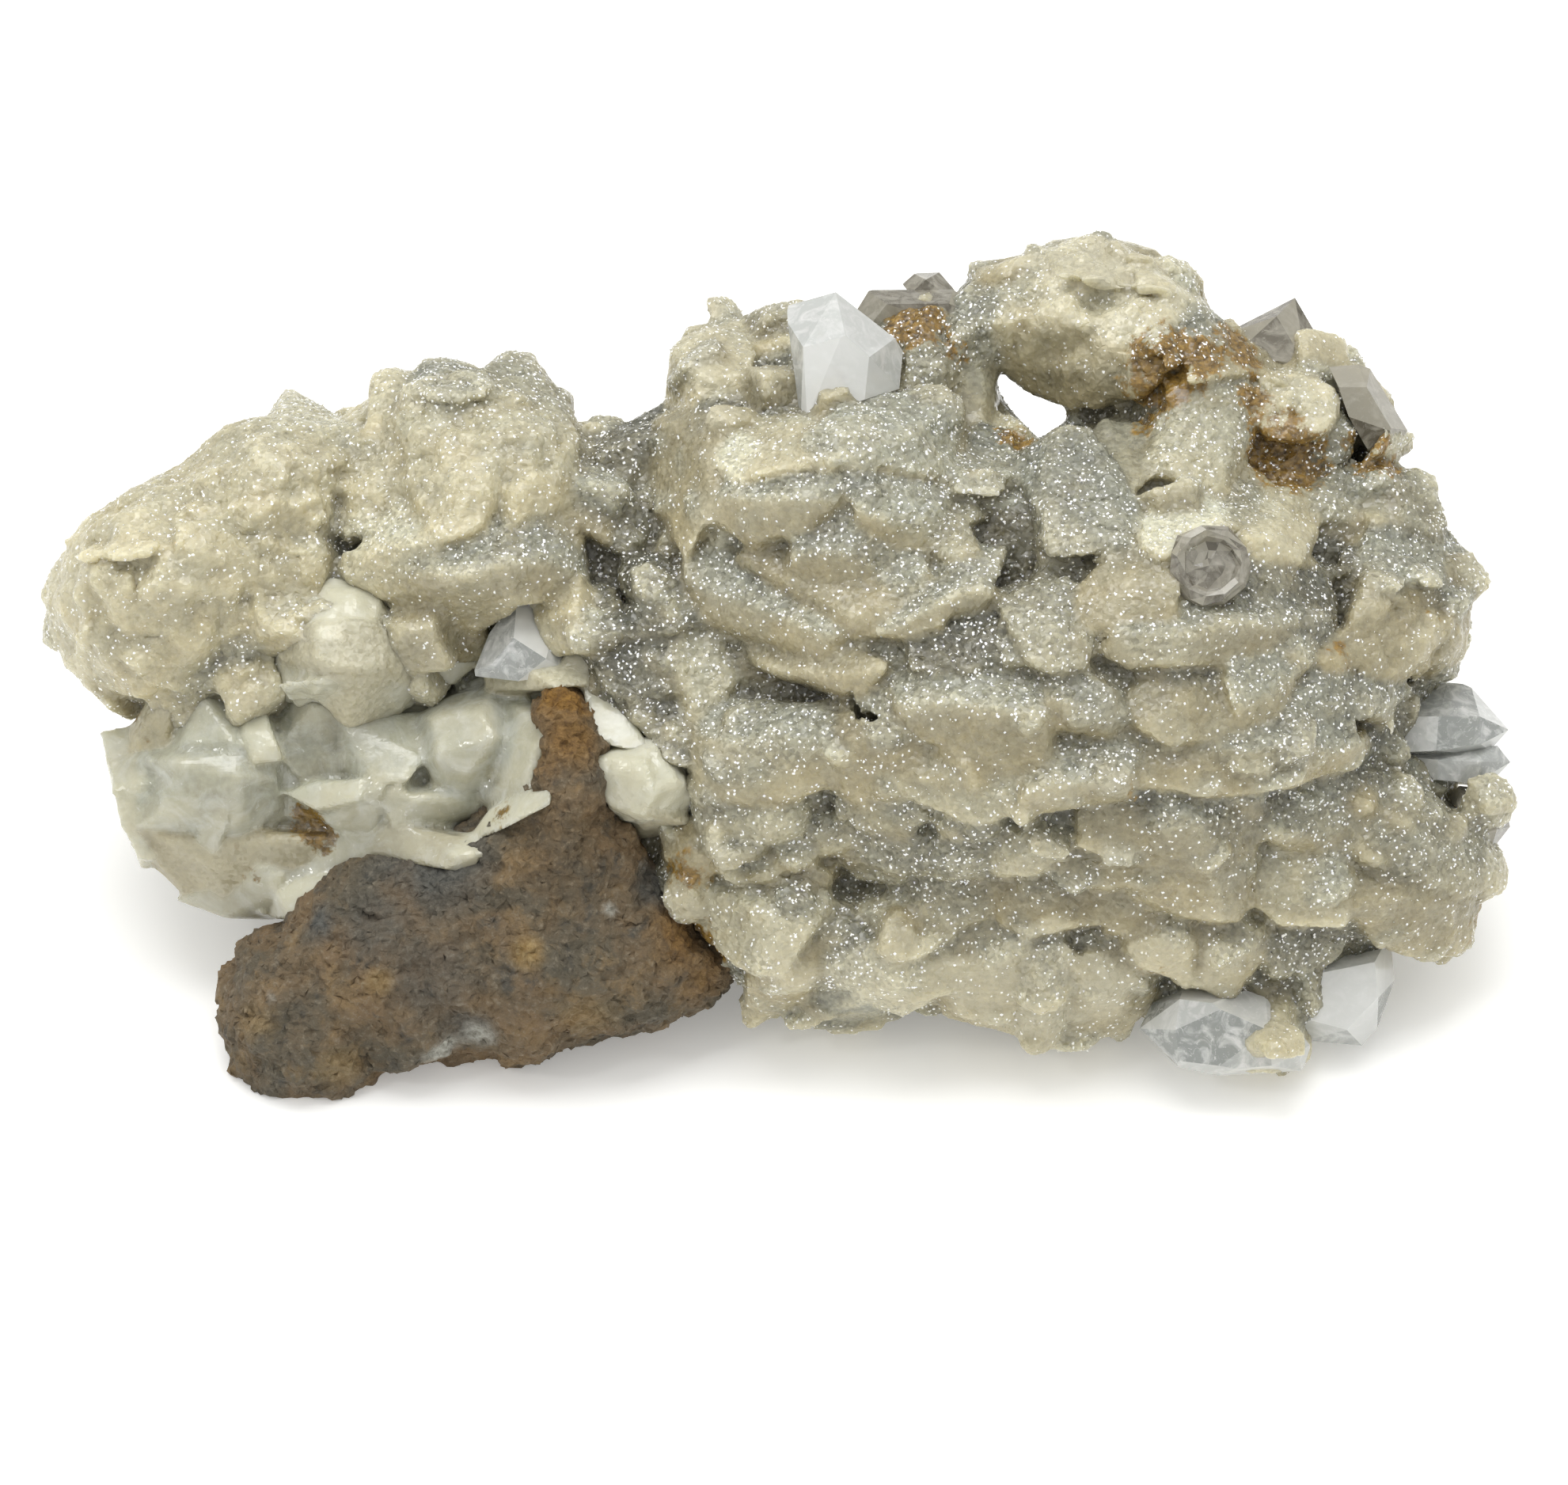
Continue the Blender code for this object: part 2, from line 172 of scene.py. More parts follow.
def outline_of(shape, u, v, a, b, corner):
    """Distance to a flat outline of half sizes a and b: round, box, pointed or flat hexagon."""
    u = np.abs(u)
    v = np.abs(v)
    if shape == "round":
        return (np.sqrt((u / a) ** 2 + (v / b) ** 2) - 1.0) * min(a, b)
    if shape == "box":
        du = u - a + corner
        dv = v - b + corner
        return np.hypot(np.maximum(du, 0), np.maximum(dv, 0)) + np.minimum(np.maximum(du, dv), 0) - corner
    scaled = v * (a / b)
    if shape == "point":
        return soft_max(u - a, 0.5 * u + 0.866 * scaled - a, corner)
    return soft_max(scaled - a, 0.866 * u + 0.5 * scaled - a, corner)


def front_places(corners):
    """The places of a front's corners, kept within a few millimetres of the same depth."""
    places = np.array([on_surface((x, y), out) for x, y, out in corners])
    depths = places @ TOWARDS
    middle = np.median(depths)
    return places + np.outer(np.clip(depths, middle - 5.0, middle + 5.0) - depths, TOWARDS)


def hull_planes(points):
    """The distinct planes round some points, the largest first: normals, and how far out each lies."""
    shell = bmesh.new()
    for point in points:
        shell.verts.new(point)
    bmesh.ops.convex_hull(shell, input=shell.verts)
    bmesh.ops.recalc_face_normals(shell, faces=shell.faces[:])
    normals = []
    for face in sorted(shell.faces, key=lambda face: -face.calc_area()):
        normal = np.array(face.normal)
        if all(normal @ other < ALIKE for other in normals):
            normals.append(normal)
    shell.free()
    normals = np.array(normals)
    return normals, (points @ normals.T).max(axis=0)


def crystal_distance(item, u, v, w):
    """Distance to a plate or block of six or four sides, cupped, with a point on its face side."""
    a, b, c = item["half"]
    if item["cup"]:
        w = w - item["cup"] * ((u / a) ** 2 + (v / b) ** 2 - 0.5)
    outline = outline_of(item["shape"], u, v, a, b, item["corner"])
    edge = item["edge"]
    beyond = outline + edge
    above = np.abs(w) - c + edge
    own = np.hypot(np.maximum(beyond, 0), np.maximum(above, 0)) + np.minimum(np.maximum(beyond, above), 0) - edge
    for (x, y, z), far in item["bevels"]:
        own = soft_max(own, x * u + y * v + z * w - far, edge)
    return own


def bevels_of(center, half, share):
    """Planes that cut the rim of a crystal's face at uneven slants, each its own way."""
    rng = np.random.default_rng(int(abs(center @ np.array((7131.0, 1733.0, 9311.0)))) % 1000003)
    planes = []
    count = 5
    for turn in range(count):
        angle = math.tau * (turn + rng.uniform(-0.3, 0.3)) / count
        slant = math.radians(rng.uniform(24.0, 62.0))
        normal = (math.cos(angle) * math.sin(slant), math.sin(angle) * math.sin(slant), math.cos(slant))
        reach = math.hypot(normal[0] * half[0], normal[1] * half[1]) + normal[2] * half[2]
        planes.append((normal, reach * rng.uniform(share, 1.0)))
    return planes


def turned(turn):
    """In the picture, the direction turned from straight down by so many degrees towards the right."""
    angle = math.radians(turn)
    return ACROSS * math.sin(angle) - UP * math.cos(angle)


def crystal(center, side, front, face, half, shape, finish, edge=0.3, corner=0.6, cup=0.0, blend=0.4, worn=None):
    axes = np.array([vector / np.linalg.norm(vector) for vector in (side, front, face)])
    bevels = [] if worn is None else bevels_of(center, half, worn)
    return {"center": np.array(center, float), "axes": axes, "half": half, "shape": shape, "finish": finish,
            "edge": edge, "corner": corner, "cup": cup, "blend": blend, "bevels": bevels}


def scale(x, y, wide, deep, thick, turn=0.0, tilt=50.0, out=0.8, finish="scale", shape="flat",
          edge=0.3, corner=0.7, cup=0.2, blend=0.4, worn=0.93):
    """A shingle whose front edge is seen at a pixel. Its face looks out, tipped up by the tilt."""
    down = turned(turn)
    lean = math.radians(tilt)
    front = down * math.cos(lean) + TOWARDS * math.sin(lean)
    face = TOWARDS * math.cos(lean) - down * math.sin(lean)
    side = np.cross(front, face)
    center = on_surface((x, y), out) - front * (deep / 2)
    return crystal(center, side, front, face, (wide / 2, deep / 2, thick / 2), shape, finish,
                   edge=edge, corner=corner, cup=cup, blend=blend, worn=worn)


def block(x, y, wide, high, deep, turn=0.0, up=20.0, right=0.0, out=1.0, finish="cream", shape="flat",
          edge=0.35, corner=0.6, blend=0.4, cup=0.0, worn=0.78):
    """A crystal whose face is centred on a pixel. The face looks out, tipped up and to the right."""
    down = turned(turn)
    aside = np.cross(down, TOWARDS)
    face = TOWARDS + UP * math.tan(math.radians(up)) + ACROSS * math.tan(math.radians(right))
    face = face / np.linalg.norm(face)
    side = aside - face * aside.dot(face)
    side = side / np.linalg.norm(side)
    front = np.cross(face, side)
    center = on_surface((x, y), out) - face * (deep / 2)
    return crystal(center, side, front, face, (wide / 2, high / 2, deep / 2), shape, finish,
                   edge=edge, corner=corner, blend=blend, cup=cup, worn=worn)


def shard(x, y, wide, high, deep, finish="glass", shape="point", **more):
    """A broken piece of bare quartz: a block with sharp edges."""
    return block(x, y, wide, high, deep, finish=finish, shape=shape, edge=0.15, corner=0.3, blend=0.12, **more)


# The growth seen in the front view, region by region: each lump or blade has its finish and the
# corners of its front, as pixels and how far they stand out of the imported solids.
LEFT_LOBE = [
    ("wax", [(63, 768, 0.0), (78, 718, 0.2), (105, 686, 0.5), (142, 690, 1.0), (152, 750, 1.4), (122, 800, 1.1),
             (84, 838, 0.0), (112, 745, 1.2)]),
    ("wax", [(105, 686, 0.4), (140, 650, 0.5), (178, 618, 0.3), (226, 604, 0.0), (252, 640, 0.8), (215, 682, 1.4),
             (150, 702, 1.3), (185, 655, 1.2)]),
    ("wax", [(214, 680, 1.2), (250, 640, 0.8), (278, 650, 0.9), (302, 670, 0.9), (306, 722, 1.3), (270, 747, 1.7),
             (225, 737, 1.7), (205, 705, 1.5), (258, 690, 1.9)]),
    ("wax", [(148, 702, 1.2), (205, 695, 1.4), (232, 740, 1.8), (216, 792, 1.7), (160, 802, 1.4), (134, 750, 1.2),
             (185, 748, 2.0)]),
    ("wax", [(230, 736, 1.5), (300, 724, 1.2), (322, 756, 0.9), (302, 802, 0.8), (250, 814, 1.2), (214, 790, 1.5),
             (268, 765, 1.9)]),
    ("cream", [(84, 838, 0.0), (128, 796, 0.9), (214, 794, 1.3), (252, 815, 1.0), (237, 852, 0.6), (186, 868, 0.5),
               (120, 864, 0.0), (170, 830, 1.4)]),
    ("wax", [(300, 668, 0.6), (350, 650, 0.9), (405, 662, 0.7), (414, 700, 0.7), (400, 742, 0.7), (350, 752, 1.0),
             (305, 735, 1.0), (330, 690, 1.7), (370, 720, 1.8)]),
    ("wax", [(233, 600, 0.0), (262, 580, 0.2), (300, 548, 0.0), (350, 536, 0.0), (395, 550, 0.2), (420, 580, 0.5),
             (424, 625, 0.7), (395, 652, 1.0), (330, 662, 1.2), (275, 650, 1.2), (240, 625, 0.6), (320, 590, 1.8),
             (372, 600, 1.7), (300, 630, 1.9)]),
    ("grey", [(235, 840, 0.2), (280, 806, 0.6), (330, 800, 0.5), (336, 850, 0.3), (290, 876, 0.2), (240, 872, 0.1),
              (285, 838, 1.1)]),
    ("cream", [(303, 760, 0.6), (350, 752, 0.9), (400, 748, 0.8), (425, 775, 0.6), (400, 802, 0.4), (335, 806, 0.4),
               (360, 778, 1.4)]),
    ("pale", [(350, 548, -0.6), (350, 530, -0.6), (368, 506, -0.6), (388, 512, -0.4), (422, 530, -0.3),
              (450, 550, 0.2), (430, 575, 0.6), (380, 565, 0.4)]),
    ("cream", [(474, 505, 0.2), (480, 470, 0.0), (497, 462, 0.0), (525, 474, 0.3), (526, 530, 1.0), (505, 550, 1.2),
               (477, 552, 0.9)]),
    ("grey", [(526, 490, 0.4), (538, 458, -0.4), (560, 456, -0.4), (602, 472, -0.2), (604, 492, 0.6), (560, 498, 0.8)]),
    ("cream", [(505, 548, 1.0), (523, 490, 0.8), (560, 482, 0.8), (600, 484, 0.9), (645, 503, 1.0), (642, 560, 1.6),
               (628, 640, 2.0), (600, 670, 2.2), (545, 682, 2.0), (520, 640, 1.6), (572, 560, 2.4), (600, 620, 2.5)]),
    ("ash", [(603, 480, 0.2), (625, 458, -0.2), (645, 448, -0.3), (668, 450, -0.3), (690, 480, 0.1), (706, 505, 0.5),
             (700, 530, 1.0), (655, 527, 1.2), (640, 502, 0.9), (668, 490, 1.2)]),
    ("ash", [(700, 500, -0.4), (718, 503, -0.4), (716, 545, 0.0), (700, 542, 0.2)]),
    ("cream", [(648, 540, 1.0), (680, 528, 0.9), (712, 545, 0.7), (726, 562, 0.4), (724, 600, 0.6), (704, 640, 1.3),
               (655, 660, 1.8), (628, 642, 1.6), (626, 585, 1.4), (675, 590, 2.0)]),
    ("cream", [(430, 600, 0.6), (440, 570, 0.4), (470, 560, 0.6), (505, 567, 0.9), (518, 592, 1.1), (515, 628, 1.3),
               (490, 644, 1.4), (450, 638, 1.2), (434, 625, 1.0), (475, 600, 2.0)]),
    ("blush", [(455, 656, 0.8), (520, 641, 1.2), (547, 690, 1.5), (522, 742, 1.4), (490, 752, 1.2), (440, 718, 0.9),
               (495, 695, 1.9)]),
    ("ledge", [(540, 675, 0.1), (600, 666, 0.2), (640, 672, 0.4), (652, 708, 2.0), (600, 726, 2.7), (540, 726, 2.5),
               (503, 732, 1.9), (500, 760, 1.5), (550, 780, 1.7), (600, 798, 1.5), (645, 768, 1.8)]),
    ("ledge", [(645, 668, 0.4), (700, 650, 0.2), (738, 665, 0.4), (750, 692, 1.6), (700, 704, 2.7), (648, 708, 2.6),
               (746, 738, 1.1), (700, 753, 1.7), (650, 754, 1.8)]),
    ("tan", [(700, 640, 0.6), (720, 610, 0.3), (742, 598, 0.3), (778, 640, 0.6), (772, 674, 0.9), (725, 684, 1.3),
             (700, 665, 1.3), (742, 645, 1.6)]),
]
SLOPE = [
    ("slate", [(757, 562, -0.6), (790, 556, -0.6), (800, 545, -0.4), (845, 506, -0.6), (850, 545, 0.0), (818, 600, 0.3),
               (790, 608, 0.4), (760, 585, 0.0)]),
    ("slate", [(742, 605, 0.4), (790, 618, 0.8), (815, 625, 0.4), (822, 668, 0.4), (796, 690, 0.8), (755, 682, 1.2),
               (738, 640, 1.0), (778, 650, 1.6)]),
    ("slate", [(795, 712, 0.4), (815, 700, 0.3), (845, 706, 0.3), (866, 740, 0.6), (876, 772, 0.9), (850, 784, 1.2),
               (812, 772, 1.0), (792, 745, 0.7), (830, 740, 1.6)]),
    ("slate", [(748, 705, 0.0), (765, 690, 0.0), (783, 705, 0.3), (784, 735, 0.6), (770, 766, 0.8), (748, 764, 0.8)]),
    ("slate", [(755, 782, 0.6), (800, 774, 0.8), (870, 780, 0.8), (882, 796, 1.0), (850, 804, 1.3), (770, 802, 1.2)]),
    ("slate", [(748, 828, 0.2), (800, 812, 0.3), (845, 830, 0.5), (852, 872, 0.9), (800, 882, 1.1), (762, 862, 0.8)]),
    ("slate", [(765, 872, 0.3), (800, 880, 0.6), (850, 884, 0.4), (872, 903, 0.5), (850, 926, 0.9), (834, 934, 0.9),
               (812, 926, 1.0), (788, 890, 0.8)]),
    ("slate", [(830, 905, 0.4), (862, 893, 0.3), (880, 925, 0.7), (885, 962, 1.0), (850, 960, 1.0), (832, 935, 0.8)]),
    ("grey", [(876, 1010, 0.5), (905, 995, 0.3), (925, 1015, 0.6), (915, 1035, 1.1), (885, 1035, 1.1)]),
]
CENTER_ROSETTE = [
    ("cream", [(844, 442, 0.0), (870, 432, -0.2), (905, 418, -0.3), (935, 408, -0.5), (948, 440, 0.5), (940, 480, 1.0),
               (925, 522, 1.4), (880, 527, 1.6), (845, 518, 1.0), (895, 470, 1.5)]),
    ("tan", [(828, 535, 0.3), (848, 522, 0.8), (925, 522, 1.2), (908, 570, 1.6), (903, 640, 2.0), (872, 695, 2.1),
             (848, 655, 1.6), (820, 600, 0.6), (868, 580, 1.9)]),
    ("white", [(903, 562, 1.0), (930, 545, 0.8), (952, 560, 1.0), (948, 592, 1.7), (930, 598, 1.8), (908, 584, 1.5)]),
    ("cream", [(945, 560, 0.4), (960, 530, 0.0), (1000, 524, 0.0), (1055, 545, 0.3), (1064, 578, 1.6), (1000, 586, 1.8),
               (948, 580, 1.5), (1005, 560, 1.3)]),
    ("ledge", [(935, 597, 0.1), (985, 582, 0.0), (1040, 584, 0.2), (1062, 602, 1.0), (1042, 632, 2.2), (975, 630, 2.6),
               (908, 627, 2.3), (905, 657, 1.6), (960, 677, 1.8), (1020, 667, 1.8), (1052, 642, 1.8)]),
    ("frost", [(1058, 522, 0.0), (1105, 502, -0.2), (1165, 499, -0.2), (1212, 510, 0.2), (1218, 546, 1.8),
               (1150, 553, 2.6), (1070, 550, 2.4), (1012, 552, 1.9), (1214, 596, 1.1), (1150, 600, 1.6),
               (1080, 594, 1.6), (1032, 586, 1.5)]),
    ("frost", [(1068, 610, 0.2), (1110, 601, 0.1), (1190, 604, 0.1), (1207, 625, 1.1), (1178, 660, 2.3),
               (1110, 668, 2.6), (1078, 652, 2.1), (1098, 690, 1.7), (1140, 696, 1.7), (1184, 680, 1.6)]),
    ("ledge", [(1003, 682, 1.0), (1030, 652, 0.2), (1075, 641, 0.1), (1102, 652, 0.4), (1112, 690, 1.9),
               (1070, 701, 2.7), (1008, 702, 2.5), (1010, 742, 1.4), (1070, 747, 1.6), (1130, 722, 1.4)]),
    ("frost", [(1095, 697, 0.5), (1130, 675, 0.2), (1166, 690, 0.5), (1168, 726, 1.7), (1122, 746, 2.2),
               (1096, 732, 1.8), (1130, 770, 1.2), (1166, 748, 1.0)]),
    ("frost", [(885, 692, 0.8), (930, 700, -0.3), (1000, 742, -0.2), (1060, 768, 0.4), (1072, 795, 1.6),
               (1050, 802, 2.4), (980, 796, 2.9), (920, 774, 2.9), (884, 742, 2.5), (873, 702, 1.9),
               (1042, 823, 1.5), (960, 810, 1.8), (900, 787, 1.8), (875, 752, 1.6)]),
    ("tan", [(950, 690, 0.1), (1050, 702, 0.3), (1130, 740, 0.4), (1152, 748, 0.7), (1130, 772, 2.0), (1080, 786, 2.4),
             (1000, 738, 2.0), (940, 702, 1.4), (1125, 792, 1.3), (1080, 798, 1.5)]),
    ("tan", [(1110, 777, 0.8), (1150, 747, 0.4), (1202, 760, 0.5), (1190, 792, 1.4), (1130, 802, 1.5)]),
    ("tan", [(940, 820, 0.2), (1000, 813, 0.1), (1070, 816, 0.2), (1116, 836, 0.5), (1102, 856, 1.5), (1040, 853, 2.0),
             (960, 853, 1.8), (933, 840, 1.0), (1090, 872, 1.0), (1040, 872, 1.1), (965, 864, 1.0)]),
    ("frost", [(893, 897, 0.1), (960, 885, -0.1), (1042, 890, 0.0), (1057, 915, 0.7), (1052, 936, 1.7),
               (1000, 950, 2.4), (920, 941, 2.5), (884, 925, 1.9), (1052, 988, 1.1), (1000, 1003, 1.4),
               (930, 1002, 1.6), (885, 990, 1.4)]),
    ("pale", [(866, 806, 0.3), (890, 795, 0.1), (918, 828, 0.5), (936, 860, 0.7), (908, 882, 1.4), (880, 908, 1.6),
              (862, 872, 1.2), (852, 840, 0.8)]),
    ("tan", [(1062, 907, 0.3), (1100, 896, 0.1), (1142, 922, 0.3), (1166, 952, 0.7), (1152, 978, 1.4), (1100, 938, 1.7),
             (1060, 932, 1.5), (1146, 1008, 1.0), (1080, 1012, 1.2), (1060, 986, 1.2)]),
    ("pale", [(924, 1022, 0.6), (960, 1006, 0.4), (1005, 1001, 0.4), (1022, 1020, 0.9), (1012, 1052, 1.6),
              (960, 1062, 1.6), (924, 1046, 1.2), (970, 1030, 1.7)]),
    ("amber", [(838, 1050, 0.6), (872, 1040, 0.6), (905, 1046, 1.2), (905, 1092, 1.4), (880, 1110, 1.0), (842, 1088, 0.8),
               (875, 1070, 1.6)]),
    ("plain", [(908, 1050, -0.4), (950, 1030, -0.4), (1010, 1050, -0.2), (1062, 1062, 0.3), (985, 1082, 0.5),
               (945, 1106, 0.6), (914, 1088, 0.4)]),
    ("frost", [(992, 1062, 0.3), (1030, 1036, 0.0), (1068, 1040, 0.2), (1084, 1064, 1.2), (1040, 1086, 1.8),
               (1000, 1092, 1.6)]),
    ("grey", [(1066, 1062, 0.5), (1100, 1036, 0.3), (1137, 1052, 0.4), (1152, 1086, 1.0), (1130, 1117, 1.5),
              (1080, 1112, 1.5), (1054, 1087, 1.1), (1105, 1075, 1.6)]),
]
ARCH_AND_TOP = [
    ("cream", [(1243, 354, -0.6), (1285, 346, -0.6), (1335, 333, -0.6), (1345, 400, 1.0), (1340, 462, 1.7),
               (1300, 496, 1.2), (1262, 462, 1.0), (1250, 410, 0.5), (1300, 410, 1.5)]),
    ("cream", [(1335, 336, -0.5), (1400, 346, -0.2), (1455, 361, 0.2), (1500, 376, 0.0), (1518, 405, 0.2),
               (1480, 426, 1.0), (1462, 455, 1.5), (1400, 468, 1.9), (1342, 462, 1.8), (1330, 400, 1.0),
               (1410, 410, 1.9)]),
    ("tan", [(1300, 494, 1.2), (1340, 460, 1.7), (1400, 465, 1.8), (1462, 452, 1.3), (1440, 485, 1.5),
             (1400, 502, 1.6), (1350, 514, 1.3), (1360, 485, 1.9)]),
    ("haze", [(1337, 313, -0.9), (1375, 312, -0.9), (1435, 320, -0.9), (1460, 323, -0.9), (1480, 344, -0.5),
              (1465, 364, 0.3), (1400, 352, 0.4), (1338, 338, 0.1)]),
    ("grey", [(1455, 422, 0.8), (1500, 386, 0.0), (1525, 405, -0.3), (1540, 426, -0.4), (1532, 442, 0.2),
              (1480, 452, 1.2), (1500, 420, 1.2)]),
    ("grey", [(1205, 382, -0.3), (1225, 361, -0.5), (1250, 353, -0.5), (1258, 400, 0.4), (1260, 458, 1.0),
              (1225, 462, 1.2), (1205, 430, 0.9)]),
    ("haze", [(1213, 470, 0.3), (1240, 440, 0.3), (1261, 470, 0.5), (1259, 500, 0.6), (1240, 545, 1.0),
              (1213, 542, 0.9)]),
    ("grey", [(1214, 562, 0.7), (1240, 543, 0.5), (1270, 552, 0.5), (1279, 590, 1.0), (1262, 622, 1.7),
              (1214, 617, 1.8), (1245, 590, 1.8)]),
    ("ash", [(1144, 440, 0.2), (1180, 428, 0.2), (1216, 455, 0.4), (1220, 492, 1.0), (1180, 500, 1.2), (1142, 490, 0.8),
             (1182, 465, 1.3)]),
    ("grey", [(1290, 577, 0.1), (1330, 546, -0.2), (1370, 545, -0.2), (1400, 590, 0.5), (1440, 640, 1.2),
              (1390, 662, 2.2), (1310, 657, 2.2), (1294, 622, 1.2), (1422, 682, 1.3), (1350, 696, 1.5),
              (1314, 690, 1.5)]),
    ("smoke", [(1375, 562, 0.5), (1398, 530, 0.2), (1437, 536, 0.2), (1452, 600, 1.0), (1432, 622, 1.3),
               (1400, 612, 1.2), (1380, 590, 0.9)]),
    ("salt", [(1450, 562, 1.0), (1468, 520, 0.6), (1500, 497, 0.4), (1560, 491, 0.3), (1577, 540, 1.0),
              (1567, 597, 1.6), (1546, 622, 1.9), (1500, 612, 2.0), (1450, 592, 1.7), (1510, 555, 1.9)]),
    ("ash", [(1518, 492, 0.3), (1545, 473, -0.2), (1568, 482, 0.0), (1572, 500, 0.7), (1535, 506, 0.9)]),
    ("cream", [(1588, 512, 1.0), (1600, 480, 0.4), (1640, 474, 0.3), (1677, 506, 0.5), (1670, 542, 1.3),
               (1640, 553, 1.6), (1605, 548, 1.7), (1632, 512, 1.9)]),
    ("smoke", [(1478, 482, 0.2), (1515, 476, 0.0), (1522, 492, 0.4), (1505, 508, 0.9), (1480, 506, 0.9)]),
    ("tan", [(1500, 450, 0.2), (1550, 430, -0.3), (1600, 444, -0.2), (1612, 462, 0.6), (1560, 470, 1.0),
             (1505, 468, 1.0)]),
    ("ash", [(1655, 622, 0.6), (1690, 600, 0.2), (1716, 610, 0.2), (1713, 650, 0.8), (1690, 667, 1.2), (1660, 652, 1.2)]),
    ("slate", [(1668, 710, 0.2), (1690, 690, 0.0), (1718, 700, 0.1), (1722, 730, 0.5), (1690, 742, 0.7)]),
    ("grey", [(1725, 702, 0.8), (1738, 668, 0.2), (1775, 640, -0.3), (1802, 641, -0.5), (1813, 680, -0.3),
              (1842, 702, -0.2), (1800, 706, 0.8), (1750, 710, 1.2)]),
    ("smoke", [(1718, 640, 0.3), (1745, 620, -0.1), (1780, 622, -0.4), (1790, 642, -0.2), (1740, 660, 0.8)]),
    ("pale", [(1745, 545, 0.3), (1782, 548, -0.3), (1764, 578, -0.2), (1735, 572, 0.4)]),
]
RIGHT_ROSETTE = [
    ("cream", [(1575, 642, 0.7), (1600, 618, 0.3), (1640, 622, 0.3), (1670, 650, 0.6), (1667, 697, 1.5),
               (1640, 702, 2.1), (1590, 700, 2.3), (1575, 677, 1.7), (1620, 662, 2.1)]),
    ("ash", [(1548, 640, 0.6), (1572, 612, 0.3), (1592, 615, 0.4), (1590, 655, 1.1), (1560, 662, 1.2)]),
    ("white", [(1448, 662, 0.7), (1480, 632, 0.3), (1520, 621, 0.1), (1552, 640, 0.5), (1547, 662, 1.1),
               (1500, 694, 2.0), (1465, 694, 2.0), (1446, 682, 1.5)]),
    ("tan", [(1372, 732, 0.9), (1400, 702, 0.4), (1430, 690, 0.4), (1478, 690, 0.6), (1492, 740, 1.6),
             (1480, 777, 2.1), (1410, 774, 2.4), (1375, 794, 2.1), (1362, 762, 1.5), (1432, 730, 2.0)]),
    ("ledge", [(1405, 767, 0.2), (1480, 752, 0.0), (1560, 760, 0.0), (1640, 755, 0.1), (1667, 771, 0.6),
               (1600, 793, 2.5), (1500, 799, 3.0), (1408, 799, 2.6), (1600, 817, 1.6), (1520, 837, 1.8),
               (1430, 840, 1.8), (1398, 827, 1.4)]),
    ("frost", [(1568, 802, 0.8), (1600, 785, 0.2), (1640, 782, 0.2), (1653, 810, 0.8), (1642, 850, 1.7),
               (1600, 880, 2.2), (1560, 892, 2.3), (1548, 860, 1.9), (1610, 900, 1.4), (1566, 905, 1.5)]),
    ("tan", [(1430, 872, 0.3), (1480, 852, 0.0), (1546, 850, 0.0), (1554, 890, 1.0), (1550, 927, 1.6),
             (1480, 937, 1.9), (1438, 917, 1.4), (1490, 890, 1.9)]),
    ("slate", [(1470, 845, 0.2), (1500, 836, 0.0), (1560, 838, 0.0), (1556, 858, 0.7), (1480, 862, 0.8)]),
    ("tan", [(1690, 792, 1.3), (1700, 752, 0.9), (1716, 722, 0.5), (1748, 706, 0.4), (1845, 702, -0.1),
             (1851, 760, -0.1), (1846, 830, 0.2), (1822, 847, 0.7), (1750, 853, 1.4), (1702, 832, 1.6),
             (1742, 762, 2.3), (1822, 792, 1.0)]),
    ("grey", [(1722, 716, 0.6), (1750, 697, 0.0), (1835, 698, -0.4), (1842, 715, -0.1), (1800, 728, 0.9),
              (1745, 732, 1.2)]),
    ("grey", [(1694, 872, 0.5), (1720, 847, 0.2), (1752, 850, 0.2), (1764, 880, 0.6), (1742, 902, 1.3),
              (1698, 897, 1.4), (1730, 872, 1.4)]),
    ("tan", [(1698, 905, 0.5), (1740, 898, 0.5), (1742, 915, 0.9), (1712, 926, 1.0)]),
    ("grey", [(1640, 872, 0.3), (1660, 835, 0.0), (1690, 840, 0.1), (1702, 880, 0.9), (1682, 902, 1.4),
              (1648, 897, 1.3), (1665, 870, 1.3)]),
    ("amber", [(1668, 822, 0.8), (1680, 806, 0.6), (1700, 808, 0.6), (1706, 828, 0.9), (1690, 844, 1.3),
               (1672, 840, 1.3), (1687, 824, 1.7)]),
    ("slate", [(1625, 765, 0.2), (1665, 745, 0.0), (1715, 735, 0.0), (1718, 770, 0.6), (1670, 795, 0.9),
               (1635, 790, 0.8)]),
]
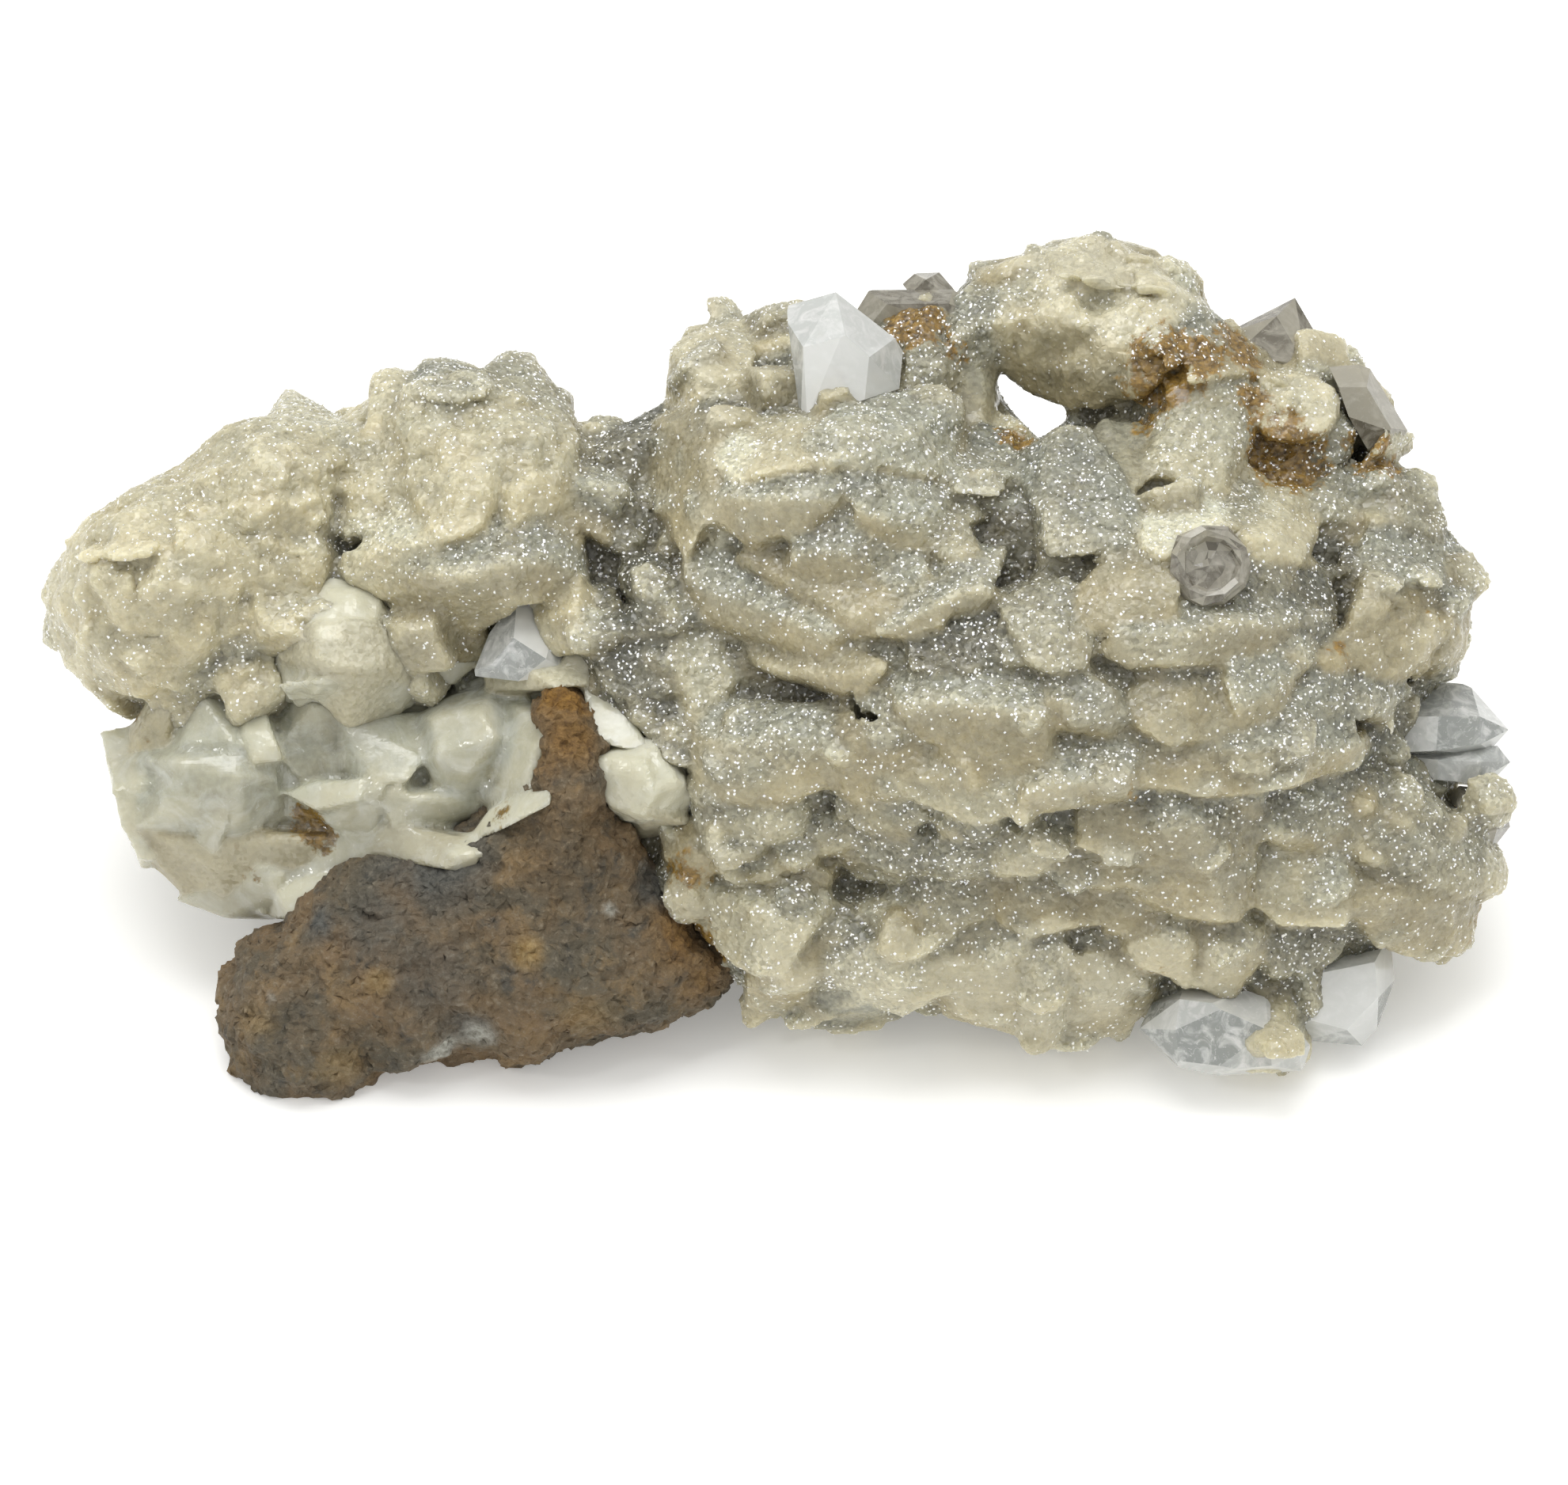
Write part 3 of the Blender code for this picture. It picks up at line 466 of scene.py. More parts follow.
CARPET = [
    ("ash", [(1268, 765, 0.5), (1300, 738, 0.1), (1345, 732, 0.2), (1364, 757, 0.6), (1377, 800, 1.5), (1372, 842, 2.1),
             (1330, 850, 2.2), (1303, 840, 1.9), (1282, 800, 1.4), (1330, 800, 2.3)]),
    ("frost", [(1133, 852, -0.1), (1200, 840, -0.3), (1280, 850, -0.3), (1322, 866, 0.0), (1337, 892, 1.0),
               (1320, 907, 2.3), (1240, 902, 2.9), (1160, 897, 2.4), (1138, 882, 1.4), (1322, 962, 1.1),
               (1275, 972, 1.3), (1230, 942, 1.6), (1160, 927, 1.5)]),
    ("ledge", [(1328, 857, 0.1), (1372, 850, 0.0), (1378, 876, 1.0), (1360, 897, 2.2), (1332, 888, 2.0),
               (1330, 918, 1.3), (1402, 926, 1.1), (1407, 905, 1.2)]),
    ("grey", [(1372, 892, 0.7), (1390, 870, 0.3), (1412, 876, 0.5), (1415, 905, 1.2), (1388, 912, 1.4)]),
    ("ledge", [(1122, 762, 0.3), (1180, 720, 0.0), (1235, 680, -0.2), (1264, 690, 0.1), (1268, 722, 0.9),
               (1252, 744, 2.0), (1200, 764, 2.5), (1150, 787, 2.1), (1112, 797, 1.5), (1245, 762, 1.3),
               (1200, 778, 1.4)]),
    ("ash", [(1178, 660, 0.6), (1195, 635, 0.2), (1225, 625, 0.1), (1239, 650, 0.5), (1232, 690, 1.2), (1202, 704, 1.5),
             (1180, 685, 1.1)]),
    ("ledge", [(1430, 1052, 0.8), (1448, 1012, 0.2), (1500, 1004, 0.1), (1582, 1030, 0.2), (1510, 1040, 2.6),
               (1528, 1110, 3.0), (1545, 1166, 2.2), (1588, 1060, 1.0), (1582, 1130, 1.0), (1570, 1162, 1.4),
               (1445, 1128, 1.5), (1490, 1155, 1.8)]),
    ("wedge", [(1552, 928, 0.5), (1600, 890, 0.0), (1650, 865, -0.3), (1690, 880, 0.0), (1697, 905, 0.5),
               (1724, 946, 1.3), (1700, 948, 2.3), (1640, 937, 2.9), (1560, 938, 2.4), (1700, 972, 1.4),
               (1640, 988, 1.6), (1560, 978, 1.5), (1528, 957, 1.1)]),
    ("tan", [(1438, 947, 0.3), (1500, 930, 0.1), (1580, 940, 0.2), (1602, 960, 1.1), (1592, 992, 1.6), (1520, 1000, 1.9),
             (1448, 987, 1.6), (1520, 962, 1.9)]),
    ("frost", [(1308, 962, 0.1), (1350, 936, -0.2), (1410, 936, -0.2), (1442, 956, 0.4), (1432, 974, 1.9),
               (1360, 987, 2.5), (1300, 992, 2.2), (1427, 1002, 1.3), (1360, 1014, 1.5), (1298, 1012, 1.4)]),
    ("pale", [(1133, 962, 0.3), (1190, 945, 0.1), (1240, 950, 0.3), (1287, 976, 0.9), (1292, 1012, 1.6),
              (1230, 1034, 2.0), (1160, 1014, 1.7), (1128, 988, 1.2), (1210, 985, 1.9)]),
    ("ash", [(1078, 887, 0.3), (1095, 860, 0.0), (1112, 855, 0.0), (1152, 907, 0.9), (1147, 928, 1.4), (1120, 917, 1.5),
             (1083, 907, 1.0)]),
    ("slate", [(1148, 802, 0.2), (1200, 786, 0.0), (1262, 790, 0.1), (1267, 832, 0.9), (1220, 847, 1.2),
               (1158, 837, 1.0)]),
    ("grey", [(1262, 812, 0.6), (1285, 800, 0.4), (1303, 815, 0.6), (1300, 838, 1.1), (1272, 840, 1.2)]),
    ("grey", [(1152, 1072, 0.4), (1195, 1046, 0.1), (1242, 1050, 0.2), (1247, 1092, 1.2), (1200, 1108, 1.7),
              (1153, 1102, 1.3), (1198, 1075, 1.5)]),
    ("pale", [(1253, 1077, 0.4), (1290, 1050, 0.1), (1342, 1060, 0.3), (1347, 1082, 1.2), (1310, 1104, 1.8),
              (1262, 1102, 1.5), (1300, 1075, 1.7)]),
    ("ash", [(1148, 1117, 0.4), (1200, 1106, 0.2), (1247, 1120, 0.4), (1242, 1152, 1.3), (1190, 1170, 1.7),
             (1148, 1148, 1.2), (1195, 1130, 1.4)]),
    ("tan", [(1258, 1117, 0.2), (1330, 1105, 0.1), (1402, 1125, 0.3), (1402, 1152, 1.3), (1330, 1170, 1.8),
             (1262, 1158, 1.4), (1330, 1130, 1.5)]),
    ("tan", [(1338, 1077, 0.2), (1390, 1060, 0.0), (1432, 1075, 0.3), (1442, 1107, 1.4), (1400, 1118, 1.8),
             (1348, 1103, 1.4)]),
    ("tan", [(1368, 1032, 0.2), (1410, 1012, 0.0), (1452, 1020, 0.2), (1454, 1062, 1.5), (1410, 1079, 2.0),
             (1370, 1068, 1.5)]),
    ("grey", [(1062, 1010, 0.4), (1100, 1000, 0.2), (1150, 1010, 0.3), (1160, 1040, 1.0), (1110, 1050, 1.2),
              (1065, 1035, 1.0)]),
    ("grey", [(1180, 1022, 0.3), (1230, 1010, 0.2), (1262, 1025, 0.5), (1250, 1052, 1.1), (1190, 1056, 1.1)]),
    ("cream", [(1590, 1087, 0.5), (1610, 1066, 0.2), (1680, 1076, 0.3), (1704, 1102, 0.7), (1702, 1142, 1.4),
               (1692, 1178, 1.9), (1620, 1170, 2.2), (1588, 1142, 1.7), (1645, 1120, 2.1)]),
    ("tan", [(1702, 1112, 0.5), (1742, 1076, 0.2), (1790, 1096, 0.2), (1827, 1130, 0.3), (1832, 1182, 0.6),
             (1802, 1212, 1.1), (1730, 1192, 1.8), (1704, 1157, 1.7), (1765, 1130, 2.0)]),
    ("tan", [(1825, 1140, 0.0), (1845, 1126, -0.3), (1867, 1132, -0.5), (1852, 1186, -0.3), (1838, 1202, 0.0),
             (1812, 1205, 0.5)]),
    ("ash", [(1688, 1062, 1.1), (1728, 985, 0.2), (1760, 990, 0.2), (1842, 1040, 0.0), (1882, 1080, -0.2),
             (1895, 1100, -0.3), (1882, 1117, 0.0), (1840, 1127, 0.6), (1808, 1112, 1.4), (1760, 1079, 1.9),
             (1700, 1079, 1.7), (1800, 1070, 1.9)]),
    ("ledge", [(1598, 1042, 0.4), (1650, 1010, 0.0), (1690, 985, -0.1), (1727, 996, 0.2), (1737, 1032, 1.0),
               (1700, 1054, 2.0), (1650, 1060, 2.3), (1602, 1058, 1.8), (1690, 1072, 1.3), (1640, 1078, 1.4)]),
    ("grey", [(1752, 968, -0.2), (1790, 956, -0.5), (1830, 985, -0.4), (1820, 1002, 0.3), (1765, 985, 0.5)]),
    ("pale", [(884, 1132, 0.4), (940, 1116, 0.2), (1032, 1112, 0.2), (1042, 1147, 0.9), (1012, 1188, 1.5),
              (985, 1229, 1.7), (930, 1219, 1.7), (890, 1178, 1.1), (960, 1160, 1.9)]),
    ("olive", [(943, 1242, 0.7), (985, 1218, 0.6), (1037, 1196, 0.4), (1042, 1227, 0.8), (1010, 1265, 1.2),
               (970, 1280, 1.2), (943, 1264, 1.0), (995, 1240, 1.5)]),
    ("grey", [(1044, 1172, 0.2), (1075, 1161, 0.1), (1097, 1200, 0.6), (1092, 1237, 1.0), (1050, 1248, 1.0),
              (1040, 1217, 0.8)]),
    ("plain", [(1000, 1267, 0.1), (1060, 1242, 0.3), (1110, 1252, 0.3), (1107, 1280, 0.2), (1010, 1284, 0.0)]),
    ("pale", [(1102, 1147, 0.4), (1130, 1130, 0.2), (1152, 1150, 0.6), (1197, 1172, 0.8), (1182, 1184, 1.4),
              (1150, 1203, 1.5), (1113, 1178, 1.4)]),
    ("pale", [(1085, 1212, 0.4), (1150, 1200, 0.3), (1192, 1226, 0.6), (1172, 1260, 1.2), (1125, 1273, 1.3),
              (1088, 1252, 0.9), (1135, 1232, 1.5)]),
    ("tan", [(1193, 1177, 0.3), (1260, 1165, 0.2), (1277, 1212, 0.8), (1292, 1302, 0.8), (1240, 1288, 0.9),
             (1193, 1268, 0.9), (1178, 1222, 0.8), (1235, 1222, 1.5)]),
    ("ash", [(1290, 1182, 0.5), (1330, 1165, 0.3), (1352, 1200, 0.8), (1347, 1292, 1.0), (1320, 1319, 0.9),
             (1288, 1302, 0.9), (1318, 1240, 1.5)]),
    ("tan", [(1350, 1207, 0.5), (1430, 1195, 0.4), (1452, 1230, 0.9), (1457, 1262, 1.1), (1420, 1303, 1.1),
             (1348, 1312, 1.0), (1400, 1250, 1.6)]),
    ("olive", [(1428, 1157, 0.2), (1480, 1155, 0.1), (1507, 1165, 0.4), (1502, 1202, 1.5), (1500, 1243, 1.8),
               (1450, 1218, 1.9), (1428, 1192, 1.4), (1465, 1185, 1.8)]),
    ("tan", [(1505, 1172, 0.1), (1570, 1165, 0.0), (1602, 1180, 0.4), (1592, 1217, 1.2), (1560, 1253, 1.7),
             (1508, 1243, 1.5), (1550, 1205, 1.6)]),
    ("grey", [(1598, 1195, 0.3), (1650, 1185, 0.0), (1695, 1195, 0.0), (1680, 1222, 0.8), (1612, 1232, 1.0)]),
    ("grey", [(1150, 1120, 0.2), (1165, 1090, 0.0), (1150, 1060, 0.0), (1130, 1100, 0.4)]),
    ("cream", [(1548, 1290, 0.6), (1580, 1262, 0.8), (1625, 1262, 0.6), (1650, 1298, 0.4), (1652, 1335, 0.4),
               (1622, 1352, 0.8), (1580, 1350, 1.0), (1560, 1322, 1.2), (1602, 1305, 2.9)]),
    ("slate", [(1440, 1005, 0.0), (1500, 1000, 0.0), (1595, 1000, 0.0), (1600, 1030, 0.3), (1500, 1035, 0.4)]),
    ("grey", [(1460, 985, 0.2), (1530, 990, 0.2), (1600, 985, 0.3), (1590, 1005, 0.6), (1480, 1010, 0.6)]),
    ("tan", [(1400, 1140, 0.3), (1430, 1118, 0.1), (1450, 1140, 0.5), (1440, 1165, 0.9), (1405, 1170, 0.9)]),
]

# Gaps between the blades, darkened with painted shade: outlines of pixels, and how deep they go.
GAPS = [
    (2.4, [(1280, 618), (1296, 632), (1306, 660), (1308, 715), (1298, 735), (1262, 748), (1250, 738), (1268, 710),
           (1270, 690), (1240, 690), (1232, 668), (1262, 655), (1272, 632)]),
    (2.0, [(742, 672), (765, 684), (792, 700), (786, 726), (800, 760), (792, 764), (778, 735), (750, 735)]),
    (1.2, [(930, 815), (955, 845), (1020, 862), (1055, 880), (1020, 888), (960, 882), (938, 866), (912, 820)]),
    (1.4, [(1650, 698), (1672, 668), (1705, 655), (1712, 665), (1700, 690), (1690, 712), (1672, 716)]),
    (1.4, [(1680, 730), (1722, 722), (1715, 745), (1695, 790), (1684, 795), (1688, 750)]),
    (1.2, [(1700, 905), (1745, 915), (1760, 950), (1745, 960), (1722, 925)]),
]


# The thin curled rim round the grey pool.
RIBBON = [(903, 1040), (903, 1062), (906, 1084), (916, 1101), (936, 1110), (958, 1109), (984, 1097), (1010, 1086)]

# Cracks and recesses: both ends, width and depth.
CRACKS = [
    (415, 665, 470, 700, 1.6, 1.4),
    (1692, 905, 1735, 930, 1.0, 1.8),
    (1745, 862, 1812, 858, 1.0, 2.0),
    (1050, 872, 1150, 942, 0.9, 1.4),
]

# The opening under the arch.
ARCH_HOLE = [(1264, 465), (1258, 490), (1270, 510), (1285, 530), (1312, 557), (1325, 548), (1345, 535),
             (1350, 525), (1345, 512), (1320, 505), (1300, 497), (1280, 485)]

# Iron stains on the crust: place, radius and strength.
CRUST_STAINS = [
    (1155, 405, 2.6, 1.0),
    (1205, 445, 1.2, 0.8),
    (1288, 560, 2.0, 1.0),
    (1455, 545, 1.6, 0.7),
    (1475, 470, 3.6, 0.9),
    (1510, 455, 2.4, 0.9),
    (1575, 510, 1.8, 0.9),
    (1620, 575, 3.6, 1.0),
    (1560, 445, 2.6, 0.9),
    (1728, 560, 1.8, 0.9),
    (1735, 600, 2.2, 1.0),
    (965, 957, 1.0, 1.0),
    (250, 618, 0.9, 0.9),
    (275, 610, 0.6, 0.8),
    (958, 1215, 1.1, 0.7),
    (190, 905, 1.3, 0.7),
    (1800, 735, 0.8, 0.4),
    (1805, 782, 1.0, 0.5),
    (1425, 990, 1.6, 0.5),
    (1685, 830, 1.3, 0.7),
    (1465, 1215, 1.6, 0.4),
    (1848, 1160, 2.2, 0.5),
    (890, 1180, 2.6, 0.9),
    (870, 1100, 2.0, 0.6),
    (1305, 1275, 0.8, 0.6),
    (1592, 1322, 1.2, 1.0),
]

# The bare broken quartz between the left lobe and the rock: the finish and the front corners of each
# piece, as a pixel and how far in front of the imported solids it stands.
BROKEN_QUARTZ = [
    ("glass", [(150, 960, -0.5), (215, 942, 0.6), (300, 955, 1.0), (345, 975, 0.6), (352, 1020, 0.4),
               (300, 1062, 0.6), (215, 1052, 0.4), (163, 1040, -0.4), (230, 965, 2.2), (300, 985, 2.4),
               (300, 1040, 2.0), (215, 1025, 1.8)]),
    ("glass", [(215, 905, 0.0), (255, 878, 0.3), (300, 890, 0.6), (308, 945, 1.0), (225, 950, 0.8),
               (235, 912, 1.8), (295, 912, 2.0), (292, 938, 2.2), (232, 940, 1.8)]),
    ("cream", [(165, 948, 0.0), (170, 915, -0.4), (188, 888, -0.4), (215, 872, -0.2), (228, 905, 0.6),
               (208, 945, 0.8), (198, 912, 1.3)]),
    ("milk", [(300, 882, 0.5), (322, 862, 0.2), (345, 942, 1.8), (352, 958, 1.4), (320, 962, 1.6),
              (309, 925, 2.3)]),
    ("dim", [(345, 880, -0.8), (400, 892, -0.8), (436, 908, -0.6), (432, 985, -0.2), (385, 985, 0.0),
             (350, 950, 0.0), (395, 940, 0.5)]),
    ("glass", [(436, 912, 0.0), (500, 905, 0.4), (526, 903, 0.2), (530, 958, 1.2), (512, 985, 1.2),
               (470, 985, 1.4), (437, 968, 1.0), (468, 928, 1.9)]),
    ("glass", [(528, 905, 0.2), (560, 885, 0.6), (618, 868, 0.4), (633, 885, 0.6), (638, 935, 1.2),
               (612, 985, 1.6), (590, 1003, 1.2), (548, 990, 1.2), (540, 965, 1.0), (556, 908, 2.8),
               (612, 896, 2.8), (622, 932, 3.1), (592, 975, 3.0), (556, 950, 2.6)]),
    ("glass", [(632, 880, 0.0), (668, 885, 0.0), (692, 928, -0.2), (674, 955, 0.8), (668, 990, 0.8),
               (620, 985, 1.2), (642, 935, 1.9), (655, 900, 1.4)]),
    ("white", [(612, 847, 0.8), (640, 834, 0.2), (700, 838, -0.4), (747, 846, -0.8), (742, 862, 0.8),
               (700, 868, 1.6), (665, 872, 1.6), (618, 868, 1.6)]),
    ("glass", [(735, 848, -0.4), (772, 870, -0.6), (812, 925, -1.0), (815, 940, -0.4), (782, 940, 0.8),
               (755, 932, 1.4), (738, 880, 1.6), (775, 910, 1.2)]),
    ("glass", [(378, 1012, 0.4), (400, 998, 0.8), (455, 988, 1.0), (482, 1000, 1.0), (470, 1046, 0.6),
               (425, 1046, 0.6), (450, 1012, 1.8)]),
    ("milk", [(368, 1002, 1.2), (395, 990, 1.3), (457, 986, 1.6), (452, 1008, 2.2), (400, 1022, 1.9)]),
    ("glass", [(482, 1004, 0.4), (540, 998, 0.8), (600, 1002, 0.8), (610, 1022, 0.6), (562, 1050, 0.4),
               (500, 1045, 0.4), (525, 1010, 1.8), (575, 1012, 1.9), (545, 1035, 1.7)]),
    ("dim", [(603, 1003, 0.8), (638, 968, 1.2), (668, 985, 0.8), (664, 1003, 0.8), (618, 1018, 0.8)]),
    ("milk", [(604, 1050, 0.5), (624, 1024, 1.0), (660, 1006, 1.2), (693, 1000, 0.6), (690, 1014, 1.0),
              (650, 1034, 1.4), (614, 1054, 0.6)]),
    ("olive", [(165, 1042, 0.0), (200, 1095, -0.5), (245, 1138, -1.0), (300, 1124, 0.0), (380, 1088, 0.5),
               (422, 1058, 0.4), (350, 1062, 0.9), (300, 1066, 1.2), (215, 1052, 0.8), (270, 1096, 1.5)]),
    ("dim", [(245, 1140, -1.0), (300, 1121, 0.2), (390, 1100, 0.4), (350, 1136, 0.2), (345, 1160, -0.8),
             (290, 1158, -1.2)]),
    ("milk", [(345, 1158, -0.6), (352, 1130, 0.6), (380, 1112, 1.0), (432, 1098, 0.8), (425, 1125, 0.4),
              (370, 1160, 0.0)]),
    ("glass", [(385, 1110, 0.4), (410, 1068, 0.5), (445, 1052, 0.4), (482, 1050, 0.2), (466, 1085, 0.7),
               (420, 1108, 0.7)]),
    ("smoke", [(450, 1060, 0.0), (500, 1045, 0.3), (560, 1045, 0.3), (605, 1066, 0.0), (600, 1086, 0.5),
               (540, 1092, 0.7), (480, 1082, 0.7)]),
    ("dim", [(257, 1008, 2.0), (285, 1003, 2.2), (285, 1045, 2.3), (268, 1076, 1.4), (255, 1062, 1.6)]),
    ("milk", [(548, 1050, 0.6), (600, 1057, 0.7), (610, 1080, 0.6), (572, 1079, 1.1)]),
    ("glass", [(536, 795, 0.0), (575, 798, 0.4), (602, 835, 0.8), (572, 862, 1.2), (540, 852, 0.8),
               (562, 825, 1.7)]),
    ("smoke", [(700, 782, -0.5), (740, 772, -0.8), (762, 820, -0.8), (742, 846, 0.2), (722, 850, 0.6)]),
]
QUARTZ_STAINS = [
    (392, 1040, 1.7, 1.0),
    (317, 1048, 0.7, 1.0),
    (188, 905, 1.3, 0.9),
    (190, 935, 1.0, 0.7),
    (320, 1105, 0.9, 0.5),
    (410, 1058, 1.4, 0.8),
    (380, 1140, 0.8, 0.7),
    (305, 1066, 1.2, 0.4),
    (640, 1032, 1.2, 0.6),
]

# The outline that the rock's tongue keeps to, between the broken quartz and the white chunk.
TONGUE = [(150, 1500), (150, 1100), (470, 1062), (600, 1066), (606, 1050), (680, 1012), (668, 985),
          (672, 952), (690, 928), (677, 892), (700, 864), (738, 874), (752, 905), (764, 935), (748, 958),
          (762, 1000), (785, 1046), (850, 1046), (1050, 1150), (1050, 1500)]

# Stains of the rock: place, radius and kind.
ROCK_STAINS = [
    (712, 885, 3.6, "rust", 1.0),
    (722, 935, 3.0, "rust", 0.7),
    (690, 960, 2.4, "rust", 0.5),
    (700, 1060, 5.0, "rust", 0.25),
    (860, 1180, 3.5, "rust", 0.7),
    (905, 1235, 3.5, "rust", 0.5),
    (820, 1060, 2.6, "rust", 0.5),
    (668, 1203, 1.6, "ochre", 1.0),
    (478, 1240, 1.4, "ochre", 0.6),
    (850, 1080, 2.2, "ochre", 0.8),
    (330, 1290, 2.0, "ochre", 0.4),
    (425, 1345, 2.2, "ochre", 0.5),
    (740, 1280, 3.0, "ochre", 0.4),
    (560, 1095, 5.0, "slate", 0.9),
    (500, 1110, 3.0, "slate", 0.8),
    (410, 1168, 2.0, "slate", 1.0),
    (480, 1170, 4.0, "slate", 0.6),
    (540, 1230, 4.5, "slate", 0.55),
    (820, 1120, 2.6, "slate", 0.9),
    (590, 1300, 2.6, "slate", 0.7),
    (560, 1328, 2.0, "chalk", 0.9),
    (605, 1310, 1.6, "chalk", 0.8),
    (346, 1261, 0.6, "chalk", 0.9),
    (800, 1092, 1.2, "chalk", 0.6),
    (771, 1150, 0.6, "chalk", 0.8),
]

# Bare crystals as hulls of corners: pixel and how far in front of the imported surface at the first.
# Each has its node, its look and where it is met by the line of sight.
GEMS = {
    "clear_crystal_center": ("clear", (1065, 460), [[
        (995, 392, -3.0), (1056, 369, -1.0), (1086, 397, -2.0), (1128, 424, -3.0), (1141, 442, -4.0),
        (1136, 490, -2.0), (1100, 502, 0.0), (1066, 522, 1.0), (1012, 534, 1.0), (1000, 440, -1.0),
        (1015, 440, 2.2), (1062, 428, 2.6), (1098, 452, 2.0), (1092, 505, 1.5), (1020, 530, 1.8),
        (1060, 470, -8.0), (1090, 500, -6.0)]]),
    "clear_crystal_left": ("clear", (655, 800), [[
        (653, 750, -1.0), (618, 800, -1.0), (600, 846, 0.0), (655, 860, 1.6), (722, 850, -0.5),
        (700, 795, -1.0), (650, 806, 1.5), (690, 832, 1.0), (625, 842, 1.2), (652, 830, -6.0)]]),
    "clear_points_right": ("clear", (1825, 925), [[
        (1766, 885, -2.0), (1800, 866, -3.0), (1840, 863, -3.0), (1872, 880, -2.5), (1908, 922, -1.5),
        (1890, 942, -1.5), (1870, 955, -2.0), (1775, 945, -1.0), (1772, 905, 1.5), (1815, 905, 2.2),
        (1868, 905, 1.2), (1815, 948, 2.0), (1772, 950, 1.4), (1870, 940, 0.8), (1775, 920, -6.0)], [
        (1776, 955, 0.0), (1893, 942, -1.0), (1910, 963, -1.5), (1880, 994, -1.5), (1785, 986, -1.0),
        (1815, 960, 1.6), (1870, 962, 1.2), (1815, 985, 1.0), (1870, 985, 0.4), (1780, 970, -5.0)]]),
    "smoky_point_right": ("smoky", (1868, 1035), [[
        (1845, 993, -1.0), (1880, 997, -2.0), (1903, 1017, -2.5), (1911, 1045, -2.5), (1893, 1066, -1.5),
        (1878, 1079, -1.0), (1855, 1056, 1.0), (1850, 1020, 1.4), (1880, 1012, 1.0), (1890, 1048, 0.8),
        (1830, 1010, -4.0), (1840, 1050, -4.0)]]),
    "foot_crystal_center": ("clear", (1545, 1305), [[
        (1441, 1300, -1.0), (1458, 1268, -2.0), (1498, 1248, -2.0), (1600, 1245, -3.0), (1640, 1300, -2.0),
        (1656, 1325, -2.0), (1645, 1354, -2.0), (1560, 1358, -1.0), (1488, 1347, 0.0), (1470, 1322, 0.3),
        (1490, 1262, 1.2), (1484, 1300, 1.8), (1488, 1340, 1.2), (1535, 1270, 2.2), (1540, 1345, 1.6),
        (1600, 1300, 2.4), (1605, 1345, 1.2), (1640, 1330, 0.4), (1540, 1290, -5.0)]]),
    "foot_crystal_right": ("clear", (1705, 1265), [[
        (1612, 1248, -2.0), (1680, 1196, -3.0), (1760, 1191, -3.0), (1765, 1240, -3.0), (1742, 1300, -2.0),
        (1722, 1322, -2.0), (1650, 1315, -1.0), (1640, 1290, 0.0), (1660, 1230, 1.5), (1735, 1215, 1.2),
        (1740, 1260, 1.2), (1700, 1300, 1.6), (1650, 1290, 1.4), (1690, 1240, -6.0)]]),
    "smoky_crystal_arch": ("smoky", (1165, 375), [[
        (1087, 383, -2.0), (1102, 365, -2.0), (1205, 364, -2.0), (1246, 398, -2.0), (1240, 430, -1.0),
        (1150, 440, 0.0), (1095, 410, 0.0), (1120, 385, 1.2), (1200, 385, 1.2), (1215, 415, 1.0),
        (1160, 400, -7.0)], [
        (1141, 356, -4.0), (1160, 342, -4.0), (1188, 341, -4.0), (1206, 364, -3.5), (1150, 370, -2.0),
        (1200, 374, -2.0), (1170, 352, -1.8), (1170, 374, -8.0)]]),
    "smoky_crystal_peak": ("smoky", (1620, 440), [[
        (1543, 423, -1.0), (1563, 413, -1.0), (1595, 397, -1.0), (1637, 375, -1.0), (1653, 407, -1.5),
        (1668, 427, -1.5), (1680, 465, -1.5), (1660, 482, 0.5), (1607, 464, 1.2), (1560, 447, 0.8),
        (1612, 400, 1.0), (1613, 457, 1.8), (1650, 464, 1.4), (1620, 440, -6.0)]]),
    "smoky_crystal_shoulder": ("smoky", (1730, 520), [[
        (1680, 463, -1.0), (1717, 460, -1.0), (1732, 465, -1.0), (1780, 543, -1.5), (1763, 573, -1.0),
        (1740, 573, 0.0), (1703, 527, 1.0), (1690, 490, 1.0), (1725, 490, 1.5), (1755, 545, 1.2),
        (1730, 520, -6.0)]]),
}

# The pale crystal under the left lobe, and the white chunk beside the tongue.
PALE_CRYSTAL = [
    ("milk", [(382, 775, 0.0), (388, 742, -0.4), (412, 732, -0.6), (452, 740, -0.4), (478, 762, 0.4), (462, 798, 1.4),
              (405, 802, 1.4), (425, 768, 1.8)]),
    ("pale", [(352, 815, 0.4), (400, 788, 1.6), (465, 788, 2.0), (520, 812, 1.2), (538, 850, 0.2), (500, 900, 0.8),
              (440, 908, 1.0), (380, 888, 1.0), (430, 845, 3.2), (478, 845, 3.2), (400, 835, 2.6)]),
    ("glass", [(330, 840, -0.4), (352, 812, 0.2), (392, 832, 1.9), (400, 872, 1.6), (365, 886, 0.4), (335, 868, -0.2)]),
    ("glass", [(378, 884, 0.8), (432, 876, 2.4), (500, 880, 1.6), (522, 884, 0.4), (482, 916, 0.0), (430, 920, 0.0),
               (396, 906, 0.2)]),
    ("cream", [(478, 770, 0.2), (512, 780, -0.4), (536, 808, -0.4), (540, 845, 0.2), (515, 850, 1.6), (482, 810, 1.8)]),
]
